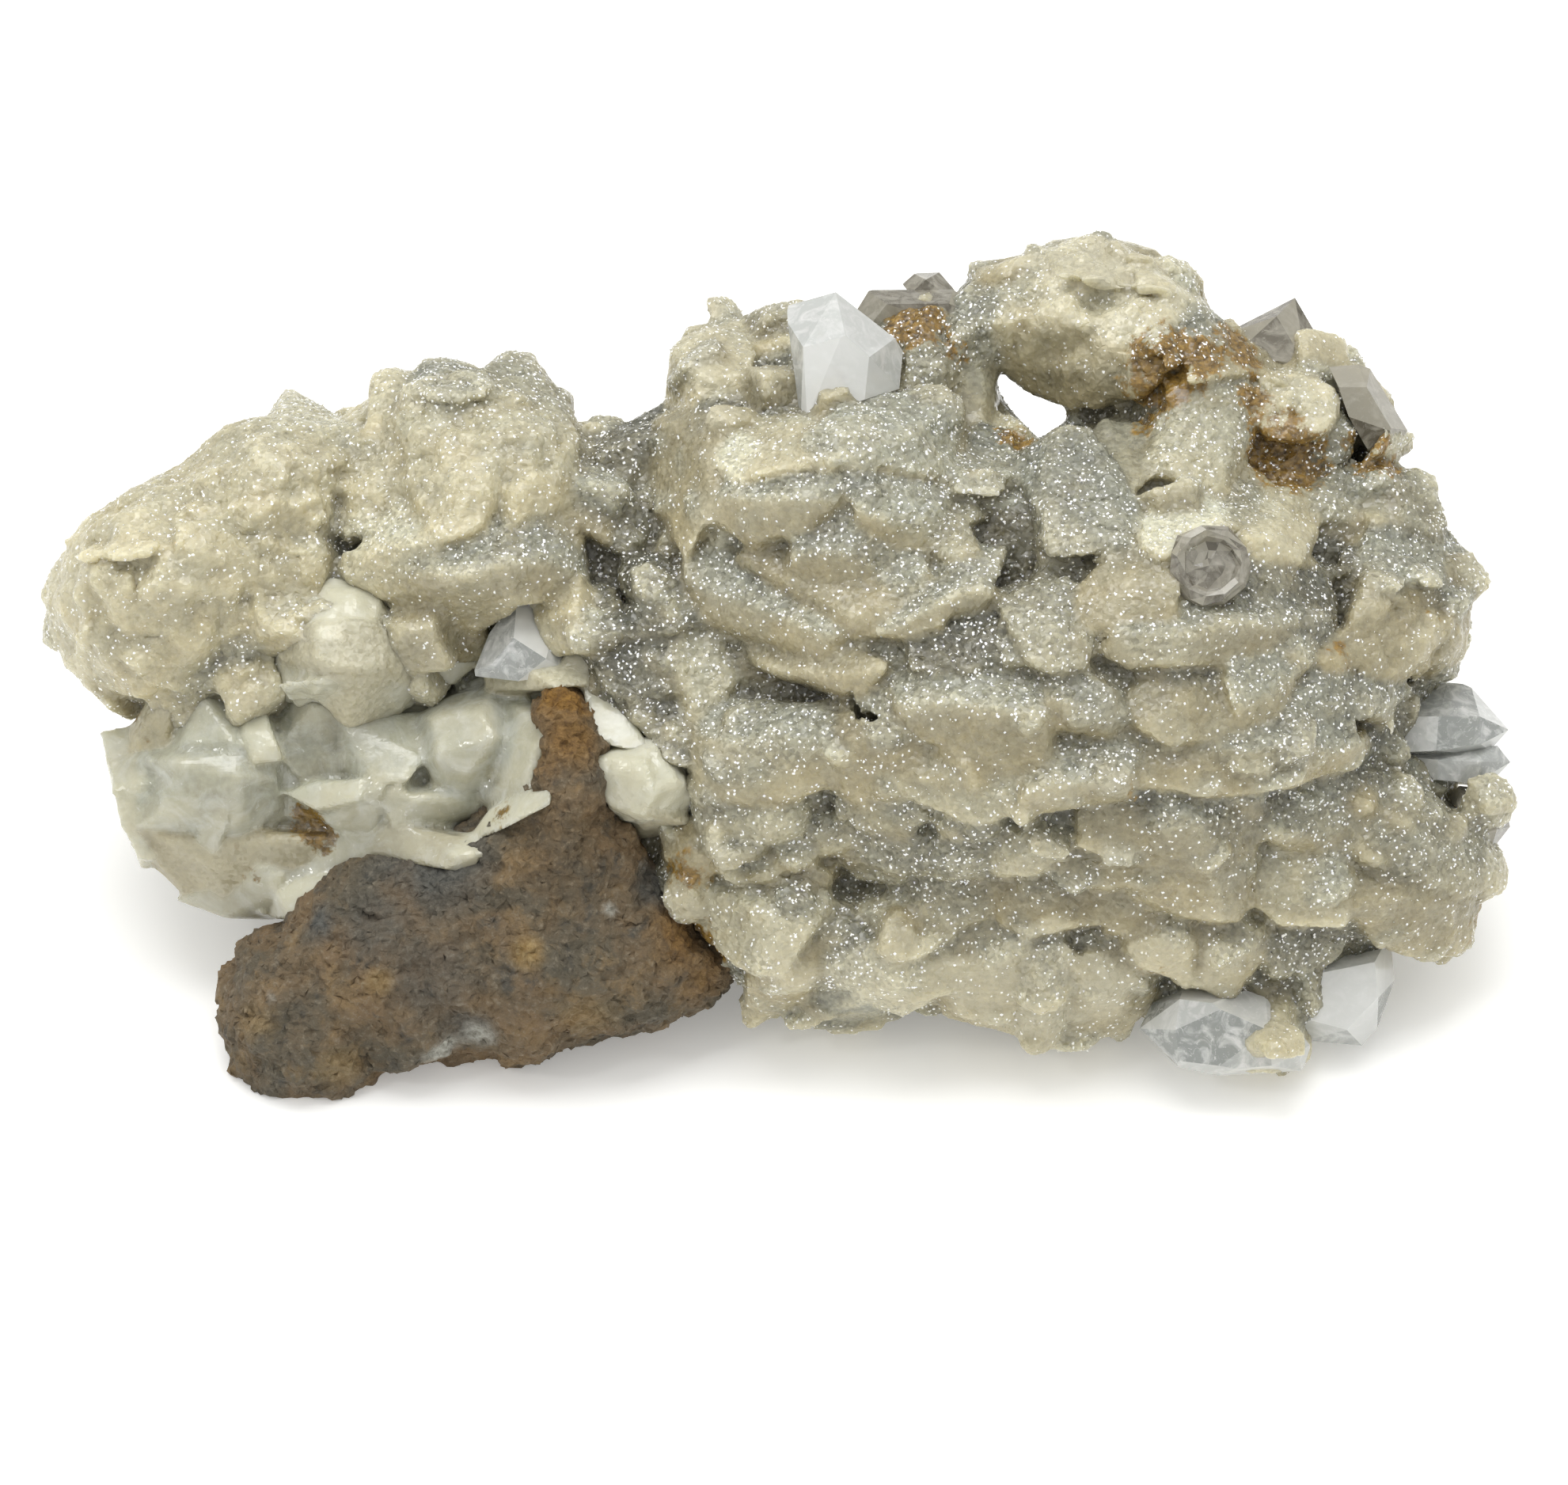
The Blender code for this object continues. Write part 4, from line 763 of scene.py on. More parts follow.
WHITE_CHUNK = [
    ("milk", [(752, 962, 0.0), (768, 936, -0.4), (800, 930, -0.4), (822, 938, 0.2), (824, 1000, 1.9), (812, 1030, 1.2),
              (786, 1038, 0.4), (770, 1010, 0.6), (785, 975, 1.6), (812, 965, 1.7)]),
    ("milk", [(822, 938, 0.0), (862, 948, -0.8), (873, 965, -0.8), (874, 1008, 0.2), (855, 1034, 0.8), (818, 1034, 1.1),
              (826, 1000, 1.8), (850, 985, 1.7), (830, 958, 1.2)]),
    ("cream", [(784, 1030, 0.6), (820, 1026, 1.5), (862, 1028, 1.0), (870, 1040, 0.2), (830, 1050, 0.2), (795, 1050, 0.0)]),
]
CHUNK_STAINS = [(800, 1046, 0.8, 0.4), (862, 1040, 0.8, 0.5)]

# Where the druse is knobbly: pixel and radius.
KNOBBLY = [(235, 740, 17.0), (590, 570, 11.0), (380, 590, 8.0), (1400, 400, 11.0), (1780, 780, 7.0), (1640, 510, 5.0)]


class Field:
    """A solid as distances on a grid, negative inside, with its tints."""

    def __init__(self, low, high, step=STEP):
        self.step = step
        self.low = np.array(low, float)
        self.shape = tuple(int(n) for n in np.ceil((np.array(high) - low) / step) + 1)
        self.dist = np.full(self.shape, FAR, np.float32)
        self.tints = {name: np.zeros(self.shape, np.float32) for name in TINTS}
        self.warp = None

    def level_set(self, points, faces):
        """Distances to a closed surface, right to within FAR of it."""
        grid = openvdb.FloatGrid.createLevelSetFromPolygons(
            (points - self.low).astype(np.float32), triangles=faces.astype(np.uint32),
            transform=openvdb.createLinearTransform(voxelSize=self.step), halfWidth=FAR / self.step)
        dist = np.full(self.shape, FAR, np.float32)
        grid.copyToArray(dist, ijk=(0, 0, 0))
        return dist

    def surface(self, dist, level=0.0):
        """The points and quads where the distances pass a level."""
        grid = openvdb.FloatGrid()
        grid.background = FAR
        grid.copyFromArray(np.ascontiguousarray(dist))
        grid.transform = openvdb.createLinearTransform(voxelSize=self.step)
        points, quads = grid.convertToQuads(isovalue=level)
        return points + self.low, quads

    def dip(self, finish):
        """Give the whole grid one finish."""
        for name, value in zip(TINTS, FINISHES[finish][0]):
            self.tints[name][:] = value

    def window(self, center, reach):
        first = np.maximum(np.floor((center - reach - self.low) / self.step).astype(int), 0)
        last = np.minimum(np.ceil((center + reach - self.low) / self.step).astype(int) + 1, self.shape)
        box = tuple(slice(a, max(a, b)) for a, b in zip(first, last))
        axes = [self.low[i] + self.step * np.arange(first[i], max(first[i], last[i])) for i in range(3)]
        return box, axes

    def places(self, box, axes):
        """The window's points, shaken by the field's own unevenness."""
        place = np.meshgrid(*axes, indexing="ij")
        return place if self.warp is None else [axis + part[box] for axis, part in zip(place, self.warp)]

    def local(self, item, box, axes):
        """The window's points in a crystal's own axes."""
        place = [axis - at for axis, at in zip(self.places(box, axes), item["center"])]
        return [sum(part * axis for part, axis in zip(own, place)) for own in item["axes"]]

    def grow(self, item):
        """Join a crystal on, with its tints."""
        reach = float(np.linalg.norm(item["half"])) + 1.5
        box, axes = self.window(item["center"], reach)
        if 0 in self.dist[box].shape:
            return
        u, v, w = self.local(item, box, axes)
        own = crystal_distance(item, u, v, w).astype(np.float32)
        here = self.dist[box]
        share = np.clip(0.5 + 0.5 * (here - own) / item["blend"], 0.0, 1.0)
        self.dist[box] = here + (own - here) * share - item["blend"] * share * (1.0 - share) * 0.5
        face, side = FINISHES[item["finish"]]
        c = item["half"][2]
        on_face = np.clip((w - 0.35 * c) / (0.5 * c), 0.0, 1.0)
        shift = shift_of(item["center"])
        for i, name in enumerate(TINTS[:3]):
            own_tint = side[i] + (face[i] - side[i]) * on_face + shift[i]
            self.tints[name][box] += (own_tint - self.tints[name][box]) * share

    def grow_lump(self, finish, corners, edge=0.3, blend=0.3, wider=OVERLAP):
        """Join on a lump or blade with flat faces, from the corners of its front."""
        front = front_places(corners)
        middle = front.mean(axis=0)
        back = middle + (front - middle) * 0.92 - TOWARDS * LUMP_DEPTH
        points = np.concatenate((front, back))
        normals, fars = hull_planes(points)
        fars = fars + wider * np.clip(1.0 - normals @ TOWARDS, 0.0, 1.0)
        center = points.mean(axis=0)
        box, axes = self.window(center, float(np.linalg.norm(points - center, axis=1).max()) + 1.0)
        if 0 in self.dist[box].shape:
            return
        place = self.places(box, axes)
        face, side = np.array(FINISHES[finish])
        own = np.full(place[0].shape, -1e3, np.float32)
        tints = [np.zeros(own.shape, np.float32) for _ in range(3)]
        for normal, far in zip(normals, fars):
            plane = sum(part * axis for part, axis in zip(normal, place)) - far
            skyward = min(max((normal @ SKYWARD - 0.4) / 0.35, 0.0), 1.0)
            tint = side + (face - side) * skyward + 0.4 * np.array(shift_of(normal * 3.0 + middle))
            share = np.clip(0.5 + (plane - own) / 0.6, 0.0, 1.0)
            own = soft_max(own, plane, edge).astype(np.float32)
            for i in range(3):
                tints[i] += (tint[i] - tints[i]) * share
        # Painted light and shade on each lump: its lower part is made lighter and its upper part, under the blade
        # above, darker. The lower part is also made warmer, the tan of the coat's thicker rim.
        span = np.abs((front - middle) @ UP).max()
        down = np.clip(sum(part * (at - axis) for part, axis, at in zip(UP, place, middle)) / span, -1.0, 1.0)
        tints[0] += 0.12 * down
        tints[1] += 0.14 * down
        here = self.dist[box]
        share = np.clip(0.5 + 0.5 * (here - own) / blend, 0.0, 1.0)
        self.dist[box] = here + (own - here) * share - blend * share * (1.0 - share) * 0.5
        for i, name in enumerate(TINTS[:3]):
            self.tints[name][box] += (tints[i] - self.tints[name][box]) * share

    def gap(self, depth, outline):
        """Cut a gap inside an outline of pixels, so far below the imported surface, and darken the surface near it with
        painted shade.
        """
        rim = front_places([(x, y, 0.0) for x, y in outline])
        middle = rim.mean(axis=0)
        box, axes = self.window(middle, float(np.linalg.norm(rim - middle, axis=1).max()) + depth)
        place = self.places(box, axes)
        aside = polygon_distance(outline, *picture_place(*place)) * PIXEL
        below = -depth - sum(part * (axis - at) for part, axis, at in zip(TOWARDS, place, middle))
        own = np.maximum(aside, below).astype(np.float32)
        self.dist[box] = soft_max(self.dist[box], -own, 0.9)
        # Painted shade: the surface near the gap is made darker.
        near = np.clip(1.0 - own / 0.5, 0.0, 1.0)
        self.tints["light"][box] *= 1.0 - 0.25 * near

    def crack(self, x1, y1, x2, y2, width, depth):
        """Cut a crack that tapers to both ends between two pixels' places, and darken the surface near it with painted
        shade.
        """
        a = on_surface((x1, y1))
        b = on_surface((x2, y2))
        along = b - a
        length = np.linalg.norm(along)
        across = np.cross(along / length, TOWARDS)
        item = crystal((a + b) / 2, along, across, TOWARDS, (length / 2, width / 2, depth), "round", "dark")
        box, axes = self.window(item["center"], length / 2 + depth + 2.0)
        u, v, w = self.local(item, box, axes)
        taper = 1.0 - np.minimum((2.0 * u / length) ** 2, 1.0)
        v = v + 0.35 * np.sin(u * 2.1) + 0.2 * np.sin(u * 5.3 + 1.0)
        own = np.hypot(np.hypot(v, np.maximum(np.abs(u) - length / 2, 0.0)), np.maximum(np.abs(w) - depth * taper, 0.0))
        own = own - width / 2 * taper
        self.dist[box] = soft_max(self.dist[box], -own.astype(np.float32), 0.3)
        # Painted shade: the surface near the crack is made darker.
        near = np.clip(1.0 - own / 0.6, 0.0, 1.0)
        self.tints["light"][box] *= 1.0 - 0.35 * near

    def stain(self, x, y, radius, strength):
        """Iron stain round a pixel's place."""
        center = on_surface((x, y))
        box, axes = self.window(center, radius * 1.6)
        gap = np.sqrt((axes[0][:, None, None] - center[0]) ** 2 + (axes[1][None, :, None] - center[1]) ** 2
                      + (axes[2][None, None, :] - center[2]) ** 2)
        amount = strength * np.clip(1.7 - 1.2 * gap / radius, 0.0, 1.0)
        self.tints["iron"][box] = np.maximum(self.tints["iron"][box], amount)

    def carve(self, outline, center, deep):
        """In front of a plane so deep behind a pixel's place, take away what is outside an outline of pixels."""
        axes = [self.low[i] + self.step * np.arange(self.shape[i]) for i in range(3)]
        place = np.meshgrid(*axes, indexing="ij")
        gap = polygon_distance(outline, *picture_place(*place)) * PIXEL
        far = on_surface(center) @ TOWARDS - deep
        ahead = sum(part * axis for part, axis in zip(TOWARDS, place)) - far
        self.dist = soft_max(self.dist, np.minimum(gap, ahead).astype(np.float32), 0.8)

    def open_through(self, outline):
        """Cut an opening along the line of sight, inside an outline of pixels."""
        middle = on_surface(outline[0])
        reach = 14.0
        box, axes = self.window(middle, reach)
        gap = polygon_distance(outline, *picture_place(*np.meshgrid(*axes, indexing="ij"))) * PIXEL
        self.dist[box] = soft_max(self.dist[box], -gap.astype(np.float32), 0.5)

    def crowd(self, cell, height, seed, tinted=True):
        """Raise interlocking pointed crystals of about one cell in size all over the surface."""
        near = np.abs(self.dist) < height + 1.5
        index = np.argwhere(near)
        points = self.low + self.step * index
        if self.warp is not None:
            points = points + 1.5 * np.stack([part[near] for part in self.warp], axis=-1)
        relief, owner = druse_relief(points, cell, seed)
        self.dist[near] -= height * (relief - 0.3) * (1.3 - np.clip(self.tints["warm"][near], 0.0, 1.0))
        if tinted:
            self.tints["light"][near] += 0.16 * (owner - 0.5)
            self.tints["warm"][near] += 0.2 * (np.sin(40.0 * owner))

    def knobs(self, cell, height, seed, x, y, radius):
        """Raise coarser crystals round a pixel's place, less and less towards the radius."""
        center = on_surface((x, y))
        box, axes = self.window(center, radius)
        near = np.abs(self.dist[box]) < height + 1.0
        points = np.stack(np.meshgrid(*axes, indexing="ij"), axis=-1)[near]
        share = np.clip(2.0 - 2.0 * np.linalg.norm(points - center, axis=1) / radius, 0.0, 1.0)
        relief, owner = druse_relief(points, cell, seed)
        self.dist[box][near] -= height * share * (relief - 0.25)
        self.tints["light"][box][near] += 0.14 * share * (owner - 0.5)

    def fill_joints(self, radius):
        """Fill the joints that are narrower than twice the radius."""
        points, quads = self.surface(self.dist, radius)
        faces = np.concatenate((quads[:, [0, 1, 2]], quads[:, [0, 2, 3]]))
        self.dist = np.minimum(self.dist, self.level_set(points, faces) + radius)

    def crumble(self, cell, height, seed):
        """Raise a rusty crust where iron stains the surface."""
        near = (np.abs(self.dist) < height + 1.0) & (self.tints["iron"] > 0.2)
        points = self.low + self.step * np.argwhere(near)
        relief = druse_relief(points, cell, seed)[0]
        self.dist[near] -= height * np.clip(self.tints["iron"][near], 0.0, 1.0) * relief

    def crowding(self, radius):
        """How much of the neighbourhood of each place is solid: low on edges, high in hollows."""
        solid = np.clip(0.5 - self.dist / self.step, 0.0, 1.0)
        reach = max(1, int(round(radius / self.step)))
        for _ in range(2):
            for axis in range(3):
                total = np.cumsum(solid, axis=axis)
                ahead = np.roll(total, -reach, axis=axis)
                behind = np.roll(total, reach + 1, axis=axis)
                solid = (ahead - behind) / (2 * reach + 1)
        return np.clip(solid, 0.0, 1.0)

    def sample(self, array, points):
        """The array's values at points, read between its cells."""
        at = (points - self.low) / self.step
        cell = np.clip(np.floor(at).astype(int), 0, np.array(self.shape) - 2)
        part = np.clip(at - cell, 0.0, 1.0)
        total = np.zeros(len(points))
        for corner in range(8):
            step = np.array((corner & 1, corner >> 1 & 1, corner >> 2))
            weight = np.prod(np.where(step, part, 1.0 - part), axis=1)
            index = cell + step
            total += weight * array[index[:, 0], index[:, 1], index[:, 2]]
        return total


def shift_of(center):
    """A small change of tint of a crystal's own, from where it is."""
    turns = center @ np.array((12.9898, 78.233, 37.719))
    return 0.1 * math.sin(turns), 0.09 * math.sin(2.7 * turns + 1.0), 0.0


def picture_place(x, y, z):
    """The pixels at which places are seen in the front view."""
    delta = np.stack((x, y, z), axis=-1) - EYE
    scale_there = VIEW_DISTANCE / -(delta @ TOWARDS) / PIXEL
    return TARGET_PIXEL[0] + (delta @ ACROSS) * scale_there, TARGET_PIXEL[1] - (delta @ UP) * scale_there


def polygon_distance(outline, u, v):
    """Distance to a flat outline, negative inside."""
    best = np.full(u.shape, 1e9)
    inside = np.zeros(u.shape, bool)
    for (ax, ay), (bx, by) in zip(outline, outline[1:] + outline[:1]):
        dx, dy = bx - ax, by - ay
        t = np.clip(((u - ax) * dx + (v - ay) * dy) / (dx * dx + dy * dy), 0.0, 1.0)
        best = np.minimum(best, np.hypot(u - ax - t * dx, v - ay - t * dy))
        crosses = ((ay > v) != (by > v)) & (u < ax + dx * (v - ay) / (dy if dy else 1e-9))
        inside ^= crosses
    return np.where(inside, -best, best)


def spline_weights(count, cell):
    """Weights that read a row of random values smoothly, one value every cell steps."""
    at = np.arange(count) / cell
    first = np.floor(at).astype(int)
    part = at - first
    table = np.zeros((count, int(first.max()) + 4), np.float32)
    rows = np.arange(count)
    table[rows, first] = (1 - part) ** 3 / 6
    table[rows, first + 1] = (3 * part ** 3 - 6 * part ** 2 + 4) / 6
    table[rows, first + 2] = (-3 * part ** 3 + 3 * part ** 2 + 3 * part + 1) / 6
    table[rows, first + 3] = part ** 3 / 6
    return table


def noise_grid(field, cell, seed):
    """Smooth noise of about unit spread over a field, with lumps of one cell in millimetres."""
    tables = [spline_weights(count, cell / field.step) for count in field.shape]
    values = np.random.default_rng(seed).standard_normal([t.shape[1] for t in tables]).astype(np.float32)
    for table in tables:
        values = np.tensordot(table, values, axes=(1, 0))
        values = np.moveaxis(values, 0, -1)
    return values * 1.8


def druse_relief(points, cell, seed):
    """The height of pointed crystals that crowd a surface, from 0 to about 1, and a number for each crystal."""
    rng = np.random.default_rng(seed)
    size = 32
    offsets = rng.random((size ** 3, 3)).astype(np.float32)
    spins = rng.standard_normal((size ** 3, 3, 3)).astype(np.float32)
    spins /= np.linalg.norm(spins, axis=2, keepdims=True)
    heights = rng.random(size ** 3).astype(np.float32)
    scaled = (points / cell).astype(np.float32)
    base = np.floor(scaled - 0.5).astype(np.int64)
    best = np.zeros(len(points), np.float32)
    owner = np.zeros(len(points), np.float32)
    for corner in range(8):
        index = base + np.array((corner & 1, corner >> 1 & 1, corner >> 2))
        wrapped = index % size
        key = (wrapped[:, 0] * size + wrapped[:, 1]) * size + wrapped[:, 2]
        delta = scaled - index - offsets[key]
        slant = np.abs(np.einsum("nij,nj->ni", spins[key], delta)).max(axis=1)
        height = 0.55 + 0.45 * heights[key] - slant
        owner = np.where(height > best, offsets[key, 0], owner)
        best = np.maximum(best, height)
    return best, owner


def triangles_of(quads, seed):
    """Each quad cut along one of its diagonals, chosen at random."""
    odd = np.random.default_rng(seed).random(len(quads)) < 0.5
    first = np.where(odd[:, None], quads[:, [0, 1, 2]], quads[:, [1, 2, 3]])
    second = np.where(odd[:, None], quads[:, [0, 2, 3]], quads[:, [1, 3, 0]])
    return np.concatenate((first, second))


def largest_body(points, faces):
    """The faces of the largest joined body."""
    label = np.arange(len(points))
    for _ in range(400):
        low = label[faces].min(axis=1)
        new = label.copy()
        for corner in range(3):
            np.minimum.at(new, faces[:, corner], low)
        new = new[new]
        if np.array_equal(new, label):
            break
        label = new
    names, counts = np.unique(label[faces[:, 0]], return_counts=True)
    return faces[label[faces[:, 0]] == names[np.argmax(counts)]]


def point_normals(points, faces):
    corners = points[faces]
    cross = np.cross(corners[:, 1] - corners[:, 0], corners[:, 2] - corners[:, 0])
    normals = np.zeros_like(points)
    for corner in range(3):
        np.add.at(normals, faces[:, corner], cross)
    return normals / np.maximum(np.linalg.norm(normals, axis=1, keepdims=True), 1e-9)


def mesh_of(field, seed, druse=0.0, jitter=0.1):
    """A field's surface as triangles with tints. Druse stands up on it where it isn't bare."""
    points, quads = field.surface(field.dist)
    faces = largest_body(points, triangles_of(quads, seed))
    tints = {name: field.sample(field.tints[name], points) for name in TINTS}
    # How much is solid round each place; the quartz shaders paint shade in hollows and a highlight on edges from it.
    tints["deep"] = 0.5 * (field.sample(field.crowding(1.2), points) + field.sample(field.crowding(3.0), points))
    rng = np.random.default_rng(seed + 1)
    rough = 1.0 - 0.9 * np.clip(tints["bare"], 0.0, 1.0)
    rough = rough * (1.15 - 0.65 * np.clip(tints["warm"], 0.0, 1.0))
    if druse:
        height = druse * rough * (druse_relief(points, 0.8, seed + 2)[0] - 0.25)
        points = points + point_normals(points, faces) * height[:, None]
    points = points + rng.uniform(-1.0, 1.0, points.shape) * jitter * field.step * rough[:, None]
    points[:, 2] = np.maximum(points[:, 2], 0.0)
    return points, faces, tints


def boundary_loops(faces):
    """The rims of an open surface, as rings of points."""
    open_edges = {}
    edges = np.concatenate((faces[:, [0, 1]], faces[:, [1, 2]], faces[:, [2, 0]]))
    for a, b in edges.tolist():
        if (b, a) in open_edges:
            del open_edges[(b, a)]
        else:
            open_edges[(a, b)] = True
    after = {}
    for a, b in open_edges:
        after.setdefault(b, []).append(a)
    loops = []
    while after:
        start = next(iter(after))
        loop = [start]
        while True:
            options = after[loop[-1]]
            following = options.pop()
            if not options:
                del after[loop[-1]]
            if following == start:
                break
            loop.append(following)
            if following not in after:
                break
        loops.append(loop)
    return loops


def split_at(table, faces, at):
    """A surface's rows and triangles, with each triangle that crosses the plane x = at cut in three."""
    beyond = (table[:, 0] > at)[faces]
    crossing = beyond.any(axis=1) & ~beyond.all(axis=1)
    right = beyond[crossing]
    alone = np.where(right.sum(axis=1) == 1, right.argmax(axis=1), (~right).argmax(axis=1))
    rolled = np.take_along_axis(faces[crossing], (alone[:, None] + np.arange(3)) % 3, axis=1)
    edges = np.sort(np.concatenate((rolled[:, :2], rolled[:, ::2])), axis=1)
    edges, number = np.unique(edges, axis=0, return_inverse=True)
    first = table[edges[:, 0]]
    second = table[edges[:, 1]]
    share = (at - first[:, :1]) / (second[:, :1] - first[:, :1])
    a, b, c = rolled.T
    by_b, by_c = (number.reshape(-1) + len(table)).reshape(2, -1)
    cut = [np.stack(corners, axis=1) for corners in ((a, by_b, by_c), (by_b, b, c), (by_b, c, by_c))]
    return np.concatenate((table, first + (second - first) * share)), np.concatenate([faces[~crossing]] + cut)


def cap(table, faces, at, outward):
    """Triangles that close the surface in the plane x = at."""
    rings = [ring for ring in boundary_loops(faces) if abs(table[ring[0], 0] - at) < 1e-4]
    flat = np.array([i for ring in rings for i in ring])
    triangles = flat[np.array(tessellate_polygon([[Vector(table[i, :3]) for i in ring] for ring in rings]))]
    corners = table[triangles][:, :, :3]
    facing = np.cross(corners[:, 1] - corners[:, 0], corners[:, 2] - corners[:, 0])[:, 0] * outward > 0.0
    return np.where(facing[:, None], triangles, triangles[:, ::-1])


def slabs(points, faces, tints, most):
    """The surface cut across into closed pieces of fewer triangles: points, faces and tints of each."""
    count = math.ceil(len(faces) / most)
    cuts = np.quantile(points[faces].mean(axis=1)[:, 0], np.arange(1, count) / count)
    away = np.min([np.abs(points[:, 0] - cut) for cut in cuts] or [np.full(len(points), FAR)], axis=0)
    tints = dict(tints, seam=np.clip(away / 2.0 - 0.1, 0.0, 1.0))
    table = np.column_stack([points] + list(tints.values()))
    for cut in cuts:
        table, faces = split_at(table, faces, cut)
    owner = np.searchsorted(cuts, table[:, 0][faces].mean(axis=1))
    pieces = []
    for number in range(count):
        own = faces[owner == number]
        ends = [(cuts[end], outward) for end, outward in ((number - 1, -1.0), (number, 1.0)) if 0 <= end < len(cuts)]
        caps = [cap(table, own, at, outward) for at, outward in ends]
        used, renamed = np.unique(np.concatenate([own] + caps), return_inverse=True)
        rows = table[used]
        pieces.append((rows[:, :3], renamed.reshape(-1, 3), dict(zip(tints, rows[:, 3:].T))))
    return pieces


def mesh_object(name, points, faces, tints, material):
    """An object from points in millimetres and triangles, with its tints on the points."""
    mesh = bpy.data.meshes.new(name)
    mesh.vertices.add(len(points))
    mesh.vertices.foreach_set("co", (points * MM).astype(np.float32).ravel())
    mesh.loops.add(faces.size)
    mesh.loops.foreach_set("vertex_index", faces.astype(np.int32).ravel())
    mesh.polygons.add(len(faces))
    mesh.polygons.foreach_set("loop_start", np.arange(0, faces.size, faces.shape[1], dtype=np.int32))
    mesh.update(calc_edges=True)
    mesh.validate()
    for key, values in tints.items():
        layer = mesh.attributes.new(key, "FLOAT", "POINT")
        layer.data.foreach_set("value", values.astype(np.float32))
    mesh.shade_flat()
    mesh.materials.append(material)
    obj = bpy.data.objects.new(name, mesh)
    bpy.context.scene.collection.objects.link(obj)
    return obj


def compact(points, faces, tints):
    """Only the points that the faces use."""
    used, renamed = np.unique(faces, return_inverse=True)
    return points[used], renamed.reshape(-1, 3), {name: values[used] for name, values in tints.items()}


class Shader:
    """A material's node tree, built up from short calls."""

    def __init__(self, name):
        self.material = bpy.data.materials.new(name)
        self.material.use_nodes = True
        self.tree = self.material.node_tree
        self.surface = self.tree.nodes["Principled BSDF"]
        self.place = self.tree.nodes.new("ShaderNodeTexCoord").outputs["Object"]

    def put(self, socket, value):
        if isinstance(value, bpy.types.NodeSocket):
            self.tree.links.new(value, socket)
        elif isinstance(value, tuple) and len(value) == 3 and socket.type == "RGBA":
            socket.default_value = (*value, 1.0)
        else:
            socket.default_value = value

    def set(self, **values):
        for name, value in values.items():
            self.put(self.surface.inputs[name.replace("_", " ")], value)

    def attribute(self, name):
        node = self.tree.nodes.new("ShaderNodeAttribute")
        node.attribute_name = name
        return node.outputs["Fac"]

    def math(self, operation, a, b=0.0):
        node = self.tree.nodes.new("ShaderNodeMath")
        node.operation = operation
        self.put(node.inputs[0], a)
        self.put(node.inputs[1], b)
        return node.outputs[0]

    def spread(self, value, low, high, to_low=0.0, to_high=1.0):
        node = self.tree.nodes.new("ShaderNodeMapRange")
        for index, number in enumerate((value, low, high, to_low, to_high)):
            self.put(node.inputs[index], number)
        return node.outputs[0]

    def mix(self, share, a, b, blend="MIX"):
        node = self.tree.nodes.new("ShaderNodeMix")
        node.data_type = "RGBA"
        node.blend_type = blend
        self.put(node.inputs[0], share)
        self.put(node.inputs[6], a)
        self.put(node.inputs[7], b)
        return node.outputs[2]

    def gray(self, value):
        node = self.tree.nodes.new("ShaderNodeCombineColor")
        for index in range(3):
            self.put(node.inputs[index], value)
        return node.outputs[0]

    def noise(self, size, detail=3.0, roughness=0.55, distortion=0.0):
        node = self.tree.nodes.new("ShaderNodeTexNoise")
        self.put(node.inputs["Vector"], self.place)
        self.put(node.inputs["Scale"], 1.0 / (size * MM))
        self.put(node.inputs["Detail"], detail)
        self.put(node.inputs["Roughness"], roughness)
        self.put(node.inputs["Distortion"], distortion)
        return node.outputs["Fac"]

    def cells(self, size):
        node = self.tree.nodes.new("ShaderNodeTexVoronoi")
        self.put(node.inputs["Vector"], self.place)
        self.put(node.inputs["Scale"], 1.0 / (size * MM))
        return node

    def split(self, color):
        node = self.tree.nodes.new("ShaderNodeSeparateColor")
        self.put(node.inputs[0], color)
        return node.outputs

    def vector(self, operation, a, b=None, scale=None):
        node = self.tree.nodes.new("ShaderNodeVectorMath")
        node.operation = operation
        self.put(node.inputs[0], a)
        if b is not None:
            self.put(node.inputs[1], b)
        if scale is not None:
            self.put(node.inputs["Scale"], scale)
        return node.outputs[0]

    def facets(self, cells, tilt):
        """The surface's normal, tipped another way in each cell."""
        geometry = self.tree.nodes.new("ShaderNodeNewGeometry")
        away = self.vector("SUBTRACT", cells.outputs["Color"], (0.5, 0.5, 0.5))
        tipped = self.vector("ADD", geometry.outputs["Normal"], self.vector("SCALE", away, scale=tilt))
        return self.vector("NORMALIZE", tipped)

    def bump(self, height, strength, distance, normal=None):
        node = self.tree.nodes.new("ShaderNodeBump")
        self.put(node.inputs["Strength"], strength)
        self.put(node.inputs["Distance"], distance * MM)
        self.put(node.inputs["Height"], height)
        if normal is not None:
            self.put(node.inputs["Normal"], normal)
        return node.outputs[0]

    def soften(self, weight, radius):
        """Let light wander under the surface, by so many millimetres."""
        self.put(self.surface.inputs["Subsurface Weight"], weight)
        self.surface.inputs["Subsurface Radius"].default_value = (1.0, 0.95, 0.75)
        self.surface.inputs["Subsurface Scale"].default_value = radius * MM


